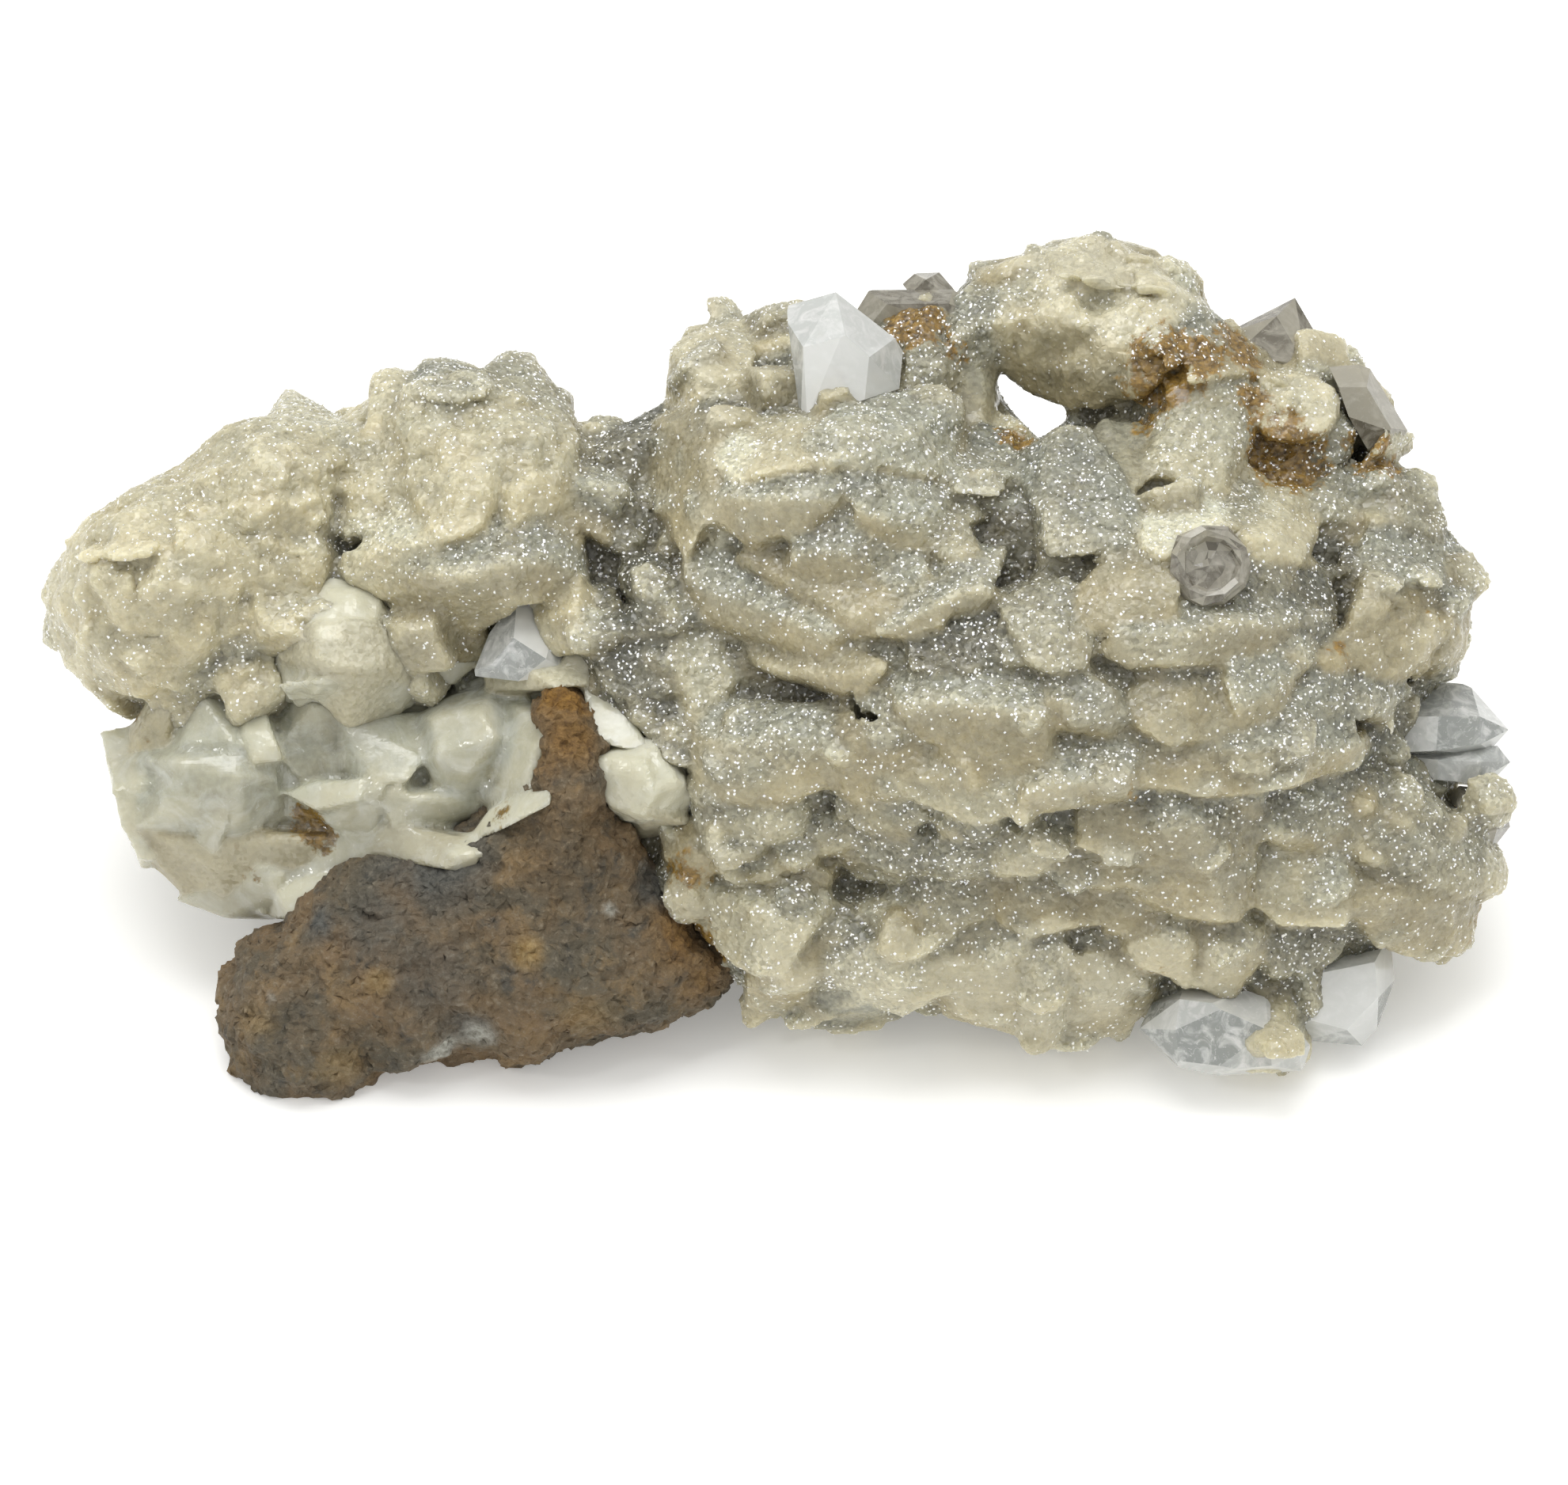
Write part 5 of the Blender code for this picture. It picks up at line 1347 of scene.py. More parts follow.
def quartz_color(look):
    """Quartz by its tints: grey to tan, dark to pale, with painted shade in hollows and a painted highlight on edges,
    brown where iron stains it.
    """
    patchy = look.noise(2.6, 4.0)
    cloudy = look.noise(1.5, 5.0, 0.65, 0.8)
    fine = look.noise(0.5, 3.0)
    warm = look.math("ADD", look.attribute("warm"), look.spread(patchy, 0.3, 0.7, -0.18, 0.18))
    uneven = look.math("ADD", look.spread(cloudy, 0.3, 0.7, -0.12, 0.12), look.spread(fine, 0.3, 0.7, -0.07, 0.07))
    light = look.math("ADD", look.attribute("light"), uneven)
    low = look.mix(warm, (0.1, 0.102, 0.08), (0.15, 0.125, 0.065))
    high = look.mix(warm, (0.57, 0.57, 0.45), (0.58, 0.51, 0.32))
    color = look.mix(light, low, high)
    deep = look.attribute("deep")
    # Painted shade: the colour is darkened where much is solid round the surface, in hollows and joints.
    color = look.mix(look.spread(deep, 0.55, 0.8, 0.0, 0.5), color, (0.15, 0.14, 0.1))
    # Painted highlight: the colour is lightened on edges and ridges, where little is solid round the surface.
    color = look.mix(look.spread(deep, 0.45, 0.28, 0.0, 0.4), color, (0.68, 0.64, 0.48))
    iron = look.math("ADD", look.attribute("iron"), look.spread(look.noise(1.0, 5.0, 0.65), 0.3, 0.7, -0.5, 0.5))
    iron = look.math("MULTIPLY", look.spread(iron, 0.35, 0.65), look.spread(look.attribute("iron"), 0.05, 0.3))
    rust = look.mix(look.spread(fine, 0.35, 0.65), (0.1, 0.06, 0.016), (0.3, 0.19, 0.05))
    return look.mix(iron, color, rust)


def druse_material():
    """Sugary crystals: salt-like with painted glints on grey quartz, fine and waxy on tan quartz, glossy where it is
    bare.
    """
    look = Shader("drusy_quartz")
    color = quartz_color(look)
    grains = look.cells(0.3)
    grain = look.split(grains.outputs["Color"])
    salty = look.spread(look.attribute("warm"), 0.35, 0.7, 1.0, 0.3)
    contrast = look.math("MULTIPLY", salty, look.spread(grain[0], 0.0, 1.0, -0.22, 0.22))
    color = look.mix(1.0, color, look.gray(look.math("ADD", contrast, 1.0)), "MULTIPLY")
    bare = look.attribute("bare")
    # Painted glints: a few small cells turned near-white in the base colour, more on salty grey faces, none on bare
    # quartz.
    spark = look.split(look.cells(0.17).outputs["Color"])
    seldom = look.spread(salty, 0.3, 1.0, 0.98, 0.94)
    painted_glint = look.math("MULTIPLY", look.math("GREATER_THAN", spark[1], seldom), look.spread(bare, 0.3, 0.0))
    color = look.mix(painted_glint, color, (1.0, 1.0, 0.97))
    rough = look.spread(grain[2], 0.3, 0.8, 0.45, 0.2)
    rough = look.math("SUBTRACT", rough, look.spread(bare, 0.2, 0.8, 0.0, 0.15))
    tilt = look.math("MULTIPLY", look.spread(bare, 0.1, 0.7, 0.5, 0.04), look.spread(salty, 0.25, 1.0, 0.55, 1.0))
    normal = look.bump(look.noise(0.7, 3.0), 0.25, 0.12, look.facets(grains, tilt))
    look.set(Base_Color=color, Roughness=rough, IOR=1.545, Normal=normal)
    look.soften(look.math("MULTIPLY", look.attribute("seam"), 0.75), 2.2)
    return look.material


def bare_material(name, through):
    """Broken bare quartz: glossy, cloudy, with fine white cracks inside and stained seams."""
    look = Shader(name)
    color = quartz_color(look)
    clouds = look.noise(3.0, 5.0, 0.6, 1.2)
    wisps = look.noise(0.9, 6.0, 0.7, 2.0)
    bare = look.attribute("bare")
    cloud = look.math("MULTIPLY", bare, look.spread(clouds, 0.45, 0.7, 0.0, 0.4))
    color = look.mix(cloud, color, (0.76, 0.78, 0.74))
    wisp = look.math("MULTIPLY", bare, look.spread(wisps, 0.62, 0.74, 0.0, 0.5))
    color = look.mix(wisp, color, (0.95, 0.96, 0.93))
    grains = look.cells(0.3)
    tilt = look.spread(bare, 0.1, 0.7, 0.6, 0.05)
    normal = look.bump(look.noise(1.4, 3.0, 0.5, 0.5), 0.25, 0.15, look.facets(grains, tilt))
    look.set(Base_Color=color, Roughness=look.spread(bare, 0.0, 1.0, 0.45, 0.13), IOR=1.545, Normal=normal,
             Transmission_Weight=through)
    look.soften(0.5, 2.0)
    return look.material


def rock_material():
    """Brown iron-stained rock: rust, ochre, grey, chalky and black patches on a rough grain."""
    look = Shader("siderite_rock")
    broad = look.noise(9.0, 5.0, 0.6, 0.6)
    middle = look.noise(3.0, 6.0, 0.66, 0.4)
    fine = look.noise(0.6, 5.0, 0.72)
    color = look.mix(look.spread(broad, 0.4, 0.6), (0.115, 0.098, 0.066), (0.19, 0.128, 0.066))
    color = look.mix(look.spread(middle, 0.52, 0.68, 0.0, 0.8), color, (0.25, 0.17, 0.08))
    color = look.mix(look.spread(middle, 0.45, 0.33, 0.0, 0.8), color, (0.06, 0.058, 0.048))
    color = look.mix(look.spread(fine, 0.54, 0.72, 0.0, 0.7), color, (0.3, 0.255, 0.18))
    color = look.mix(look.spread(fine, 0.42, 0.28, 0.0, 0.7), color, (0.045, 0.036, 0.024))
    rust = look.mix(look.spread(fine, 0.35, 0.65), (0.11, 0.05, 0.008), (0.31, 0.165, 0.03))
    slate = look.mix(look.spread(fine, 0.35, 0.65), (0.05, 0.052, 0.048), (0.125, 0.125, 0.11))
    ochre = look.mix(look.spread(fine, 0.35, 0.65), (0.26, 0.16, 0.05), (0.42, 0.3, 0.13))
    chalk = look.mix(look.spread(fine, 0.35, 0.65), (0.3, 0.29, 0.24), (0.6, 0.6, 0.54))
    for name, patch in (("rust", rust), ("slate", slate), ("ochre", ochre), ("chalk", chalk)):
        share = look.math("MULTIPLY", look.attribute(name), look.spread(middle, 0.3, 0.5, 0.5, 1.0))
        color = look.mix(share, color, patch)
    height = look.math("ADD", fine, look.noise(0.22, 4.0, 0.7))
    look.set(Base_Color=color, Roughness=look.spread(fine, 0.3, 0.7, 0.95, 0.62),
             Normal=look.bump(height, 0.8, 0.3))
    return look.material


def gem_material(name, dull, bright, veil, through, roughness, absorbed, density):
    """See-through quartz that takes up some light. Each face is a little brighter or duller."""
    look = Shader(name)
    clouds = look.noise(1.8, 5.0, 0.6, 1.4)
    wisps = look.noise(0.7, 6.0, 0.7, 2.0)
    color = look.mix(look.attribute("facet"), dull, bright)
    color = look.mix(look.spread(clouds, 0.45, 0.68, 0.0, 0.8), color, veil)
    color = look.mix(look.spread(wisps, 0.58, 0.66, 0.0, 0.7), color, veil)
    height = look.noise(0.9, 4.0, 0.5, 0.6)
    look.set(Base_Color=color, Roughness=look.spread(clouds, 0.4, 0.7, roughness, roughness + 0.12), IOR=1.545,
             Transmission_Weight=through, Normal=look.bump(height, 0.2, 0.06))
    volume = look.tree.nodes.new("ShaderNodeVolumeAbsorption")
    volume.inputs["Color"].default_value = (*absorbed, 1.0)
    volume.inputs["Density"].default_value = density
    output = look.tree.nodes["Material Output"]
    look.tree.links.new(volume.outputs[0], output.inputs["Volume"])
    return look.material


def fleck_material(name, dull, bright, roughness):
    """Small white flecks, and sparkling grains whose near-white colour is a painted glint."""
    look = Shader(name)
    patchy = look.noise(0.5, 3.0)
    color = look.mix(look.spread(patchy, 0.35, 0.65), dull, bright)
    look.set(Base_Color=color, Roughness=look.spread(patchy, 0.3, 0.7, roughness, roughness + 0.15), IOR=1.545)
    return look.material


def finish_piece(obj, slot, *nodes):
    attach(obj, "root")
    if nodes:
        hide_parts(*nodes)
    return obj


def add_camera():
    data = bpy.data.cameras.new("front_view")
    data.sensor_width = 36.0
    data.lens = data.sensor_width * VIEW_DISTANCE / (PICTURE_WIDE * PIXEL)
    data.shift_x = (PICTURE_WIDE / 2 - TARGET_PIXEL[0]) / PICTURE_WIDE
    data.shift_y = (TARGET_PIXEL[1] - PICTURE_HIGH / 2) / PICTURE_WIDE
    data.clip_start = 0.01
    camera = bpy.data.objects.new("front_view", data)
    camera.location = EYE * MM
    camera.rotation_euler = Vector(-TOWARDS).to_track_quat("-Z", "Y").to_euler()
    bpy.context.scene.collection.objects.link(camera)
    bpy.context.scene.camera = camera


def add_stage():
    bpy.context.scene.view_settings.view_transform = "Standard"
    world = bpy.data.worlds.new("studio")
    world.use_nodes = True
    background = world.node_tree.nodes["Background"]
    background.inputs["Color"].default_value = (1.0, 1.0, 0.99, 1.0)
    place = world.node_tree.nodes.new("ShaderNodeTexCoord")
    height = world.node_tree.nodes.new("ShaderNodeSeparateXYZ")
    strength = world.node_tree.nodes.new("ShaderNodeMapRange")
    strength.inputs["From Min"].default_value = 0.0
    strength.inputs["To Min"].default_value = 0.38
    strength.inputs["To Max"].default_value = 1.15
    world.node_tree.links.new(place.outputs["Generated"], height.inputs[0])
    world.node_tree.links.new(height.outputs["Z"], strength.inputs["Value"])
    world.node_tree.links.new(strength.outputs[0], background.inputs["Strength"])
    bpy.context.scene.world = world
    mesh = bpy.data.meshes.new("floor")
    mesh.from_pydata([(-3, -3, 0), (3, -3, 0), (3, 3, 0), (-3, 3, 0)], [], [(0, 1, 2, 3)])
    floor = bpy.data.objects.new("floor", mesh)
    look = Shader("floor")
    look.set(Base_Color=look.mix(look.noise(40.0), (0.9, 0.9, 0.89), (0.93, 0.93, 0.92)), Roughness=0.9,
             Emission_Color=(1.0, 1.0, 0.98), Emission_Strength=0.22)
    mesh.materials.append(look.material)
    bpy.context.scene.collection.objects.link(floor)
    add_light("overhead", (-0.05, 0.1, 0.75), 0.5, 3.2)
    add_light("left", (-0.5, -0.35, 0.6), 0.1, 0.5)


def add_light(name, place, size, watts):
    data = bpy.data.lights.new(name, "AREA")
    data.size = size
    data.energy = watts
    light = bpy.data.objects.new(name, data)
    light.location = place
    aim = Vector((0.0, 0.0, 0.02)) - Vector(place)
    light.rotation_euler = aim.to_track_quat("-Z", "Y").to_euler()
    bpy.context.scene.collection.objects.link(light)


def scattered(points, faces, rng, tries, spacing, keep_if):
    """Places spread at random over a surface, no closer than a spacing, with their normals."""
    corners = points[faces].astype(float)
    cross = np.cross(corners[:, 1] - corners[:, 0], corners[:, 2] - corners[:, 0])
    area = np.linalg.norm(cross, axis=1)
    chosen = rng.choice(len(faces), tries, p=area / area.sum())
    weights = rng.dirichlet((1.0, 1.0, 1.0), tries)
    places = np.einsum("ni,nij->nj", weights, corners[chosen])
    normals = cross[chosen] / area[chosen][:, None]
    kept = np.empty((0, 3))
    found = []
    for place, normal in zip(places, normals):
        if not keep_if(place, normal):
            continue
        if len(kept) and np.min(np.linalg.norm(kept - place, axis=1)) < spacing:
            continue
        kept = np.vstack((kept, place))
        found.append((place, normal))
    return found


def hidden_place(place, normal):
    """Whether a place is well behind what the front view shows, and clear of the floor."""
    for step in (0.0 * UP, 5.0 * UP, 4.0 * ACROSS, -4.0 * ACROSS):
        line = place + step - EYE
        far = np.linalg.norm(line)
        hit = SURFACE.ray_cast(Vector(EYE), Vector(line / far))[0]
        if hit is None or far - np.linalg.norm(np.array(hit) - EYE) < 6.0:
            return False
    return not (place[2] < 4.0 and normal[2] < -0.4)


def open_place(place, normal):
    """Whether small blades grow at a place: not on the left lobe's front, nor under the specimen."""
    lobe = place[0] < -9.0
    return not (place[2] < 3.0 and normal[2] < -0.5) and not (lobe and normal @ TOWARDS > 0.0)


def bladed_place(place, normal):
    """Whether small blades grow at a place: on the slope and the lower carpet, and all over the back."""
    x, y = picture_place(*place)
    carpet = y > 900 or 740 < x < 880 and y > 560
    return place[2] > 1.5 and x > 740 and (carpet or normal @ TOWARDS < 0.0)


def scattered_crystals(points, faces):
    """Blades and blocks over the whole crust at random: large ones first, then smaller ones."""
    rng = np.random.default_rng(51)
    items = []
    for spacing, tries, smallest, largest, keep_if in ((6.0, 1200, 7.0, 11.0, hidden_place), (3.3, 2400, 3.6, 6.2, open_place)):
        for place, normal in scattered(points, faces, rng, tries, spacing, keep_if):
            wide = rng.uniform(smallest, largest)
            blocky = place[0] < -6.0 and place[2] > 14.0 or place[2] > 38.0
            sunk = 1.5 if normal @ TOWARDS > 0.3 else 0.3
            finish = ("scale", "scale", "grey", "ash", "tan")[rng.integers(5)]
            if blocky and rng.random() < 0.6:
                finish = ("cream", "cream", "pale", "frost", "tan")[rng.integers(5)]
            face = normal + np.array((0.0, 0.0, 0.25 if blocky else 0.95)) + rng.normal(0.0, 0.25, 3)
            face /= np.linalg.norm(face)
            side = np.cross(normal, face) + rng.normal(0.0, 0.4 if blocky else 0.15, 3)
            side -= face * side.dot(face)
            side /= np.linalg.norm(side)
            front = np.cross(face, side)
            thick = wide * rng.uniform(0.3, 0.5) if blocky else rng.uniform(0.9, 1.6)
            center = place - normal * (sunk + (0.6 * thick if blocky else 0.0))
            if not blocky:
                center = center - front * wide * 0.3
            shape = ("flat", "point", "box", "point")[rng.integers(4)]
            items.append(crystal(center, side, front, face, (wide / 2, wide * 0.42, thick), shape, finish,
                                 edge=0.3, corner=0.5, cup=0.0, worn=0.8))
    return items


def small_blades(field):
    """Small blades over the rosettes and the carpet: each a tilted plate of which the lower edge stands out."""
    rng = np.random.default_rng(52)
    points, quads = field.surface(field.dist)
    faces = np.concatenate((quads[:, [0, 1, 2]], quads[:, [0, 2, 3]]))
    items = []
    for place, normal in scattered(points, faces, rng, 2400, 2.6, bladed_place):
        wide = rng.uniform(2.2, 4.6)
        face = 0.5 * normal + SKYWARD + rng.normal(0.0, 0.28, 3)
        face /= np.linalg.norm(face)
        side = np.cross(normal, face) + rng.normal(0.0, 0.12, 3)
        side -= face * side.dot(face)
        side /= np.linalg.norm(side)
        front = np.cross(face, side)
        center = place - front * wide * 0.27 - normal * rng.uniform(0.0, 0.3)
        finish = ("ledge", "frost", "tan", "grey", "ash")[rng.integers(5)]
        shape = ("flat", "point", "box")[rng.integers(3)]
        half = (wide / 2, wide * rng.uniform(0.36, 0.5), rng.uniform(0.5, 0.9))
        items.append(crystal(center, side, front, face, half, shape, finish,
                             edge=0.25, corner=0.4, blend=0.5, worn=0.75))
    return items


def crust_field():
    low = WHOLE_POINTS.min(0) - MARGIN
    high = WHOLE_POINTS.max(0) + MARGIN
    field = Field(low, high)
    whole = field.level_set(WHOLE_POINTS, WHOLE_FACES)
    outer_points, outer_quads = field.surface(whole, SEAM)
    outer_faces = np.concatenate((outer_quads[:, [0, 1, 2]], outer_quads[:, [0, 2, 3]]))
    closed = field.level_set(outer_points, outer_faces) + SEAM
    points, faces = nodes_in_mm(["drusy_quartz_crust"])
    own = field.level_set(points, faces)
    field.dist = np.maximum(own - SEAM, closed + DRAWN_IN)
    field.dip("core")
    field.warp = [0.3 * noise_grid(field, 5.0, seed) + 0.16 * noise_grid(field, 1.8, seed + 10)
                  for seed in (11, 12, 13)]
    field.crowd(5.5, 1.3, 14)
    for item in scattered_crystals(points, faces):
        field.grow(item)
    for finish, corners in LEFT_LOBE:
        field.grow_lump(finish, corners, edge=0.5, blend=0.8, wider=0.3)
    for finish, corners in SLOPE + CENTER_ROSETTE + ARCH_AND_TOP + RIGHT_ROSETTE + CARPET:
        field.grow_lump(finish, corners)
    rim = [on_surface(pixel, 1.1) for pixel in RIBBON]
    for a, b in zip(rim, rim[1:]):
        along = b - a
        across = np.cross(along, TOWARDS)
        half = (np.linalg.norm(along) / 2 + 0.4, 0.5, 1.1)
        field.grow(crystal((a + b) / 2, along, across, TOWARDS, half, "box", "cream", edge=0.4, corner=0.4, blend=0.4))
    for item in small_blades(field):
        field.grow(item)
    field.fill_joints(0.25)
    for spot in KNOBBLY:
        field.knobs(3.4, 1.7, 17, *spot)
        field.knobs(1.5, 0.45, 18, *spot)
    for depth, outline in GAPS:
        field.gap(depth, outline)
    field.crowd(1.7, 0.34, 15, tinted=False)
    for crack in CRACKS:
        field.crack(*crack)
    field.open_through(ARCH_HOLE)
    for stain in CRUST_STAINS:
        field.stain(*stain)
    field.crumble(0.9, 0.5, 16)
    field.warp = None
    return field


def field_round(points, faces, step=STEP):
    field = Field(points.min(0) - MARGIN, points.max(0) + MARGIN, step)
    field.dist = field.level_set(points, faces)
    return field


def rock_mesh():
    """The rock, broken up by coarse and fine unevenness."""
    field = field_round(*nodes_in_mm(["siderite_rock"]))
    field.dist += 0.2 + 0.5 * noise_grid(field, 5.5, 41) + 0.3 * noise_grid(field, 2.4, 42)
    field.dist += 0.2 * noise_grid(field, 1.0, 43)
    field.carve(TONGUE, (715, 960), 8.0)
    field.warp = [0.3 * noise_grid(field, 2.6, seed) for seed in (46, 47, 48)]
    field.crowd(4.2, 1.1, 49)
    field.crowd(1.7, 0.5, 50)
    ground = field.low[2] + field.step * np.arange(field.shape[2])
    field.dist = np.maximum(field.dist, -ground[None, None, :])
    points, faces, tints = mesh_of(field, 44, druse=0.35, jitter=0.3)
    stains = {name: np.zeros(len(points)) for name in ("rust", "slate", "ochre", "chalk")}
    for x, y, radius, kind, strength in ROCK_STAINS:
        gap = np.linalg.norm(points - on_surface((x, y)), axis=1) / radius
        stains[kind] = np.maximum(stains[kind], strength * np.clip(1.6 - 1.4 * gap, 0.0, 1.0))
    return compact(points, faces, stains)


def grown_mesh(node, finish, lumps, stains, seed, edge=0.25, druse=0.0):
    """A small solid with lumps and broken pieces grown on it, on a finer grid."""
    field = field_round(*nodes_in_mm([node]), step=STEP * 0.75)
    field.dist += 0.5
    field.dip(finish)
    field.warp = [0.1 * noise_grid(field, 2.0, seed + number) for number in (1, 2, 3)]
    field.crowd(3.4, 1.0, seed)
    for lump_finish, corners in lumps:
        field.grow_lump(lump_finish, corners, edge=edge, blend=0.25, wider=0.25)
    field.fill_joints(0.12)
    if druse:
        field.crowd(1.3, 0.3, seed + 5, tinted=False)
    for stain in stains:
        field.stain(*stain)
    return compact(*mesh_of(field, seed + 4, druse=druse, jitter=0.05))


def facet_numbers(mesh):
    """A number for each flat face of a mesh, from the way that it looks."""
    layer = mesh.attributes.new("facet", "FLOAT", "FACE")
    for polygon, value in zip(mesh.polygons, layer.data):
        turns = sum(round(part * 6.0) * weight for part, weight in zip(polygon.normal, (12.99, 78.23, 37.72)))
        value.value = 0.5 + 0.5 * math.sin(turns * 1.7)


def hull_points(center, corners):
    """Corners given by pixels and depths, as places round the spot where the pixel meets the solids."""
    spot = on_surface(center)
    return np.array([spot + ACROSS * (x - center[0]) * PIXEL + UP * (center[1] - y) * PIXEL + TOWARDS * depth
                     for x, y, depth in corners])


def cut_solid(points):
    """A solid with flat faces that closely holds some points."""
    center = points.mean(axis=0)
    solid = bmesh.new()
    bmesh.ops.create_cube(solid, size=200.0)
    bmesh.ops.translate(solid, verts=solid.verts, vec=center)
    for normal, far in zip(*hull_planes(points)):
        cut = bmesh.ops.bisect_plane(solid, geom=solid.verts[:] + solid.edges[:] + solid.faces[:],
                                     plane_co=normal * far, plane_no=normal, clear_outer=True)
        rim = [item for item in cut["geom_cut"] if isinstance(item, bmesh.types.BMEdge)]
        if rim:
            bmesh.ops.contextual_create(solid, geom=rim)
    bmesh.ops.remove_doubles(solid, verts=solid.verts, dist=0.02)
    bmesh.ops.recalc_face_normals(solid, faces=solid.faces[:])
    return solid


def hull_mesh(name, hulls, cut=True):
    """One mesh of several solids, each with flat faces or as a plain hull."""
    whole = bmesh.new()
    for points in hulls:
        if cut:
            part = cut_solid(points)
        else:
            part = bmesh.new()
            for point in points:
                part.verts.new(point)
            made = bmesh.ops.convex_hull(part, input=part.verts)
            loose = {item for key in ("geom_interior", "geom_unused") for item in made[key]}
            bmesh.ops.delete(part, geom=[v for v in loose if isinstance(v, bmesh.types.BMVert)], context="VERTS")
            bmesh.ops.recalc_face_normals(part, faces=part.faces[:])
        bmesh.ops.scale(part, verts=part.verts, vec=(MM, MM, MM))
        bmesh.ops.triangulate(part, faces=part.faces[:])
        shell = bpy.data.meshes.new("hull")
        part.to_mesh(shell)
        whole.from_mesh(shell)
        bpy.data.meshes.remove(shell)
        part.free()
    mesh = bpy.data.meshes.new(name)
    whole.to_mesh(mesh)
    whole.free()
    mesh.shade_flat()
    facet_numbers(mesh)
    return mesh


def triangles_in_mm(mesh):
    mesh.calc_loop_triangles()
    points = np.empty(len(mesh.vertices) * 3, np.float32)
    mesh.vertices.foreach_get("co", points)
    corners = np.empty(len(mesh.loop_triangles) * 3, np.int32)
    mesh.loop_triangles.foreach_get("vertices", corners)
    return points.reshape(-1, 3) / MM, corners.reshape(-1, 3)


def grains_mesh(places, normals, sizes, rng):
    """Many small double-pointed crystals, each leaning its own way off the surface."""
    shape = np.array([(1, 0, 0), (0, 1, 0), (-1, 0, 0), (0, -1, 0), (0, 0, 1.5), (0, 0, -1.5)], float)
    sides = np.array([(0, 1, 4), (1, 2, 4), (2, 3, 4), (3, 0, 4), (1, 0, 5), (2, 1, 5), (3, 2, 5), (0, 3, 5)])
    count = len(places)
    axis = normals + rng.normal(0.0, 0.5, (count, 3))
    axis /= np.linalg.norm(axis, axis=1, keepdims=True)
    first = np.cross(axis, rng.normal(0.0, 1.0, (count, 3)))
    first /= np.linalg.norm(first, axis=1, keepdims=True)
    second = np.cross(axis, first)
    frames = np.stack((first, second, axis), axis=1)
    points = np.einsum("kj,njl->nkl", shape, frames) * sizes[:, None, None] + places[:, None, :]
    faces = sides[None] + (np.arange(count) * len(shape))[:, None, None]
    return points.reshape(-1, 3), faces.reshape(-1, 3)


def flakes_in(hulls, rng, sheets, per_sheet):
    """Fine white flakes in a few sheets inside some hulls."""
    points = []
    faces = []
    for corners in hulls:
        middle = corners.mean(axis=0)
        inner = middle + (corners - middle) * 0.72
        for _ in range(sheets):
            a, b, c = inner[rng.choice(len(inner), 3, replace=False)]
            for _ in range(per_sheet):
                s, t = sorted(rng.random(2))
                spot = a * s + b * (t - s) + c * (1 - t) + rng.normal(0.0, 0.12, 3)
                u = (b - a) / np.linalg.norm(b - a)
                n = np.cross(u, c - a)
                v = np.cross(n / max(np.linalg.norm(n), 1e-6), u)
                size = rng.uniform(0.08, 0.3)
                turn = rng.uniform(0, math.tau)
                ring = [spot + size * rng.uniform(0.6, 1.2) * (u * math.cos(turn + k * 1.256)
                        + v * math.sin(turn + k * 1.256)) for k in range(5)]
                start = len(points)
                points += ring
                faces += [(start, start + k, start + k + 1) for k in (1, 2, 3)]
    return np.array(points), np.array(faces)


def ringed_crystal():
    """The round glassy crystal: a low dome with a raised rim and a hollow face, turned in steps."""
    center = on_surface((1528, 714), 0.9)
    rings = [(3.0, -5.0), (3.35, -1.2), (3.4, -0.2), (3.15, 0.5), (2.7, 0.8), (2.3, 0.6), (2.0, 0.05), (1.3, -0.15),
             (0.6, -0.1)]
    sides = 11
    rng = np.random.default_rng(71)
    lean = TOWARDS + UP * 0.12 + ACROSS * 0.05
    lean /= np.linalg.norm(lean)
    u = np.cross(UP, lean)
    u /= np.linalg.norm(u)
    v = np.cross(lean, u)
    points = [center - lean * 5.2]
    for radius, height in rings:
        for k in range(sides):
            angle = math.tau * (k + 0.15 * rng.standard_normal()) / sides
            r = radius * (1.0 + 0.04 * rng.standard_normal())
            points.append(center + u * r * math.cos(angle) + v * r * math.sin(angle)
                          + lean * (height + 0.06 * rng.standard_normal()))
    points.append(center + lean * -0.12)
    faces = []
    for k in range(sides):
        after = (k + 1) % sides
        faces.append((0, 1 + after, 1 + k))
        for ring in range(len(rings) - 1):
            a = 1 + ring * sides
            b = a + sides
            faces += [(a + k, a + after, b + after), (a + k, b + after, b + k)]
        top = 1 + (len(rings) - 1) * sides
        faces.append((top + k, top + after, len(points) - 1))
    return np.array(points), np.array(faces)


add_camera()
add_stage()

DRUSE = druse_material()
BARE = bare_material("bare_quartz", 0.15)
MILKY = bare_material("milky_quartz", 0.1)
CLEAR = gem_material("clear_quartz", (0.4, 0.42, 0.4), (0.96, 0.97, 0.94),
                     (1.0, 1.0, 0.98), 0.38, 0.04, (0.94, 0.95, 0.92), 8.0)
SMOKY = gem_material("smoky_quartz", (0.2, 0.18, 0.14), (0.5, 0.47, 0.38),
                     (0.62, 0.59, 0.5), 0.45, 0.07, (0.62, 0.54, 0.42), 60.0)
GROWN = (
    ("broken_quartz_left", "glass", BROKEN_QUARTZ, QUARTZ_STAINS, 64, 0.22, 0.0, BARE, "bare_quartz"),
    ("pale_crystal_left", "pale", PALE_CRYSTAL, [], 74, 0.4, 0.25, MILKY, "milky_quartz"),
    ("milky_quartz_chunk", "milk", WHITE_CHUNK, CHUNK_STAINS, 84, 0.25, 0.08, MILKY, "milky_quartz"),
)
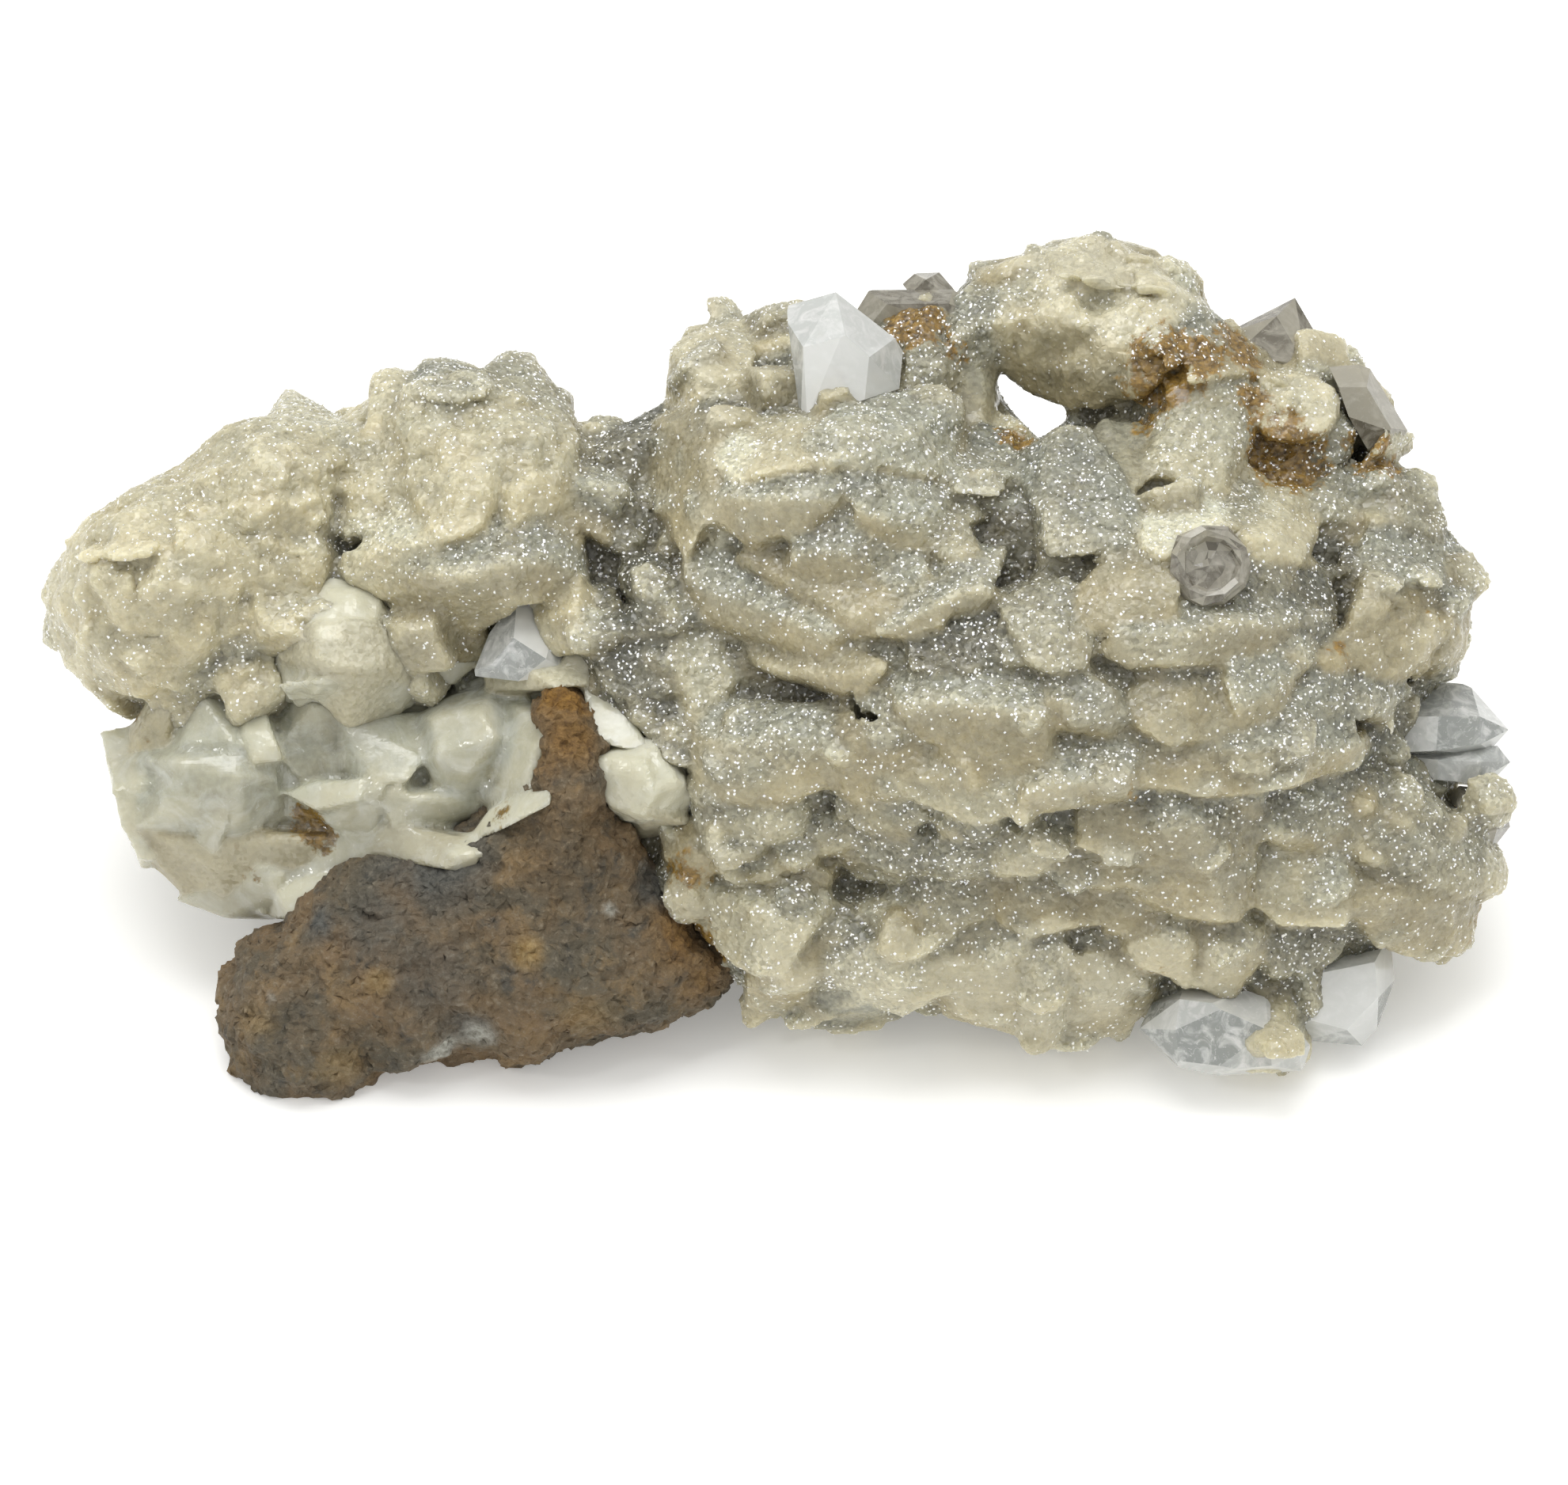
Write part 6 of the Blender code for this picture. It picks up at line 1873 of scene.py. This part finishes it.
# The sparkling grains' near-white colour is a painted glint on small real grains.
SPARKLE = fleck_material("sparkling_grains", (0.62, 0.62, 0.54), (0.98, 0.98, 0.95), 0.05)
VEIL = fleck_material("veil_flakes", (0.8, 0.82, 0.8), (0.96, 0.97, 0.96), 0.4)

CRUST_POINTS, CRUST_FACES, CRUST_TINTS = mesh_of(crust_field(), 31, druse=0.24, jitter=0.2)
for number, piece in enumerate(slabs(CRUST_POINTS, CRUST_FACES, CRUST_TINTS, PIECE_TRIANGLES)):
    finish_piece(mesh_object("druse_%d" % number, *piece, DRUSE), "druse_coat", "drusy_quartz_crust")

RNG = np.random.default_rng(81)
CRUST_NORMALS = point_normals(CRUST_POINTS, CRUST_FACES)
USED = np.unique(CRUST_FACES)
# Painted glints gather on light, up-turned places: the grains are spread most there.
LIKELY = (0.25 + CRUST_TINTS["light"][USED]) * np.clip(1.0 - CRUST_TINTS["bare"][USED], 0.02, 1.0)
LIKELY *= (0.5 + np.clip(CRUST_NORMALS[USED][:, 2], 0.0, 1.0)) * np.clip(1.25 - CRUST_TINTS["warm"][USED], 0.2, 1.2)
SPOTS = RNG.choice(USED, 9000, replace=False, p=LIKELY / LIKELY.sum())
SIZES = 0.04 + 0.06 * RNG.random(len(SPOTS)) ** 2
GRAINS, GRAIN_FACES = grains_mesh(CRUST_POINTS[SPOTS] + CRUST_NORMALS[SPOTS] * 0.05, CRUST_NORMALS[SPOTS], SIZES, RNG)
GRAINS[:, 2] = np.maximum(GRAINS[:, 2], 0.0)
finish_piece(mesh_object("druse_sparkle", GRAINS, GRAIN_FACES, {}, SPARKLE), "druse_coat")

finish_piece(mesh_object("rough_rock", *rock_mesh(), rock_material()), "siderite_rock", "siderite_rock")
for node, finish, lumps, stains, seed, edge, druse, material, slot in GROWN:
    mesh = grown_mesh(node, finish, lumps, stains, seed, edge, druse)
    finish_piece(mesh_object(node + "_grown", *mesh, material), slot, node)

for node_name, (look_name, spot, hull_list) in GEMS.items():
    hulls = [hull_points(spot, corners) for corners in hull_list]
    material, slot = (CLEAR, "clear_quartz") if look_name == "clear" else (SMOKY, "smoky_quartz")
    mesh = hull_mesh(node_name + "_gem", hulls)
    mesh.materials.append(material)
    gem = bpy.data.objects.new(node_name + "_gem", mesh)
    bpy.context.scene.collection.objects.link(gem)
    finish_piece(gem, slot, node_name)
    flakes, flake_faces = flakes_in(hulls, RNG, 5 if look_name == "clear" else 2, 34)
    finish_piece(mesh_object(node_name + "_veils", flakes, flake_faces, {}, VEIL), slot)
RINGED = mesh_object("ringed_crystal", *ringed_crystal(), {}, SMOKY)
facet_numbers(RINGED.data)
finish_piece(RINGED, "smoky_quartz", "smoky_window_crystal")
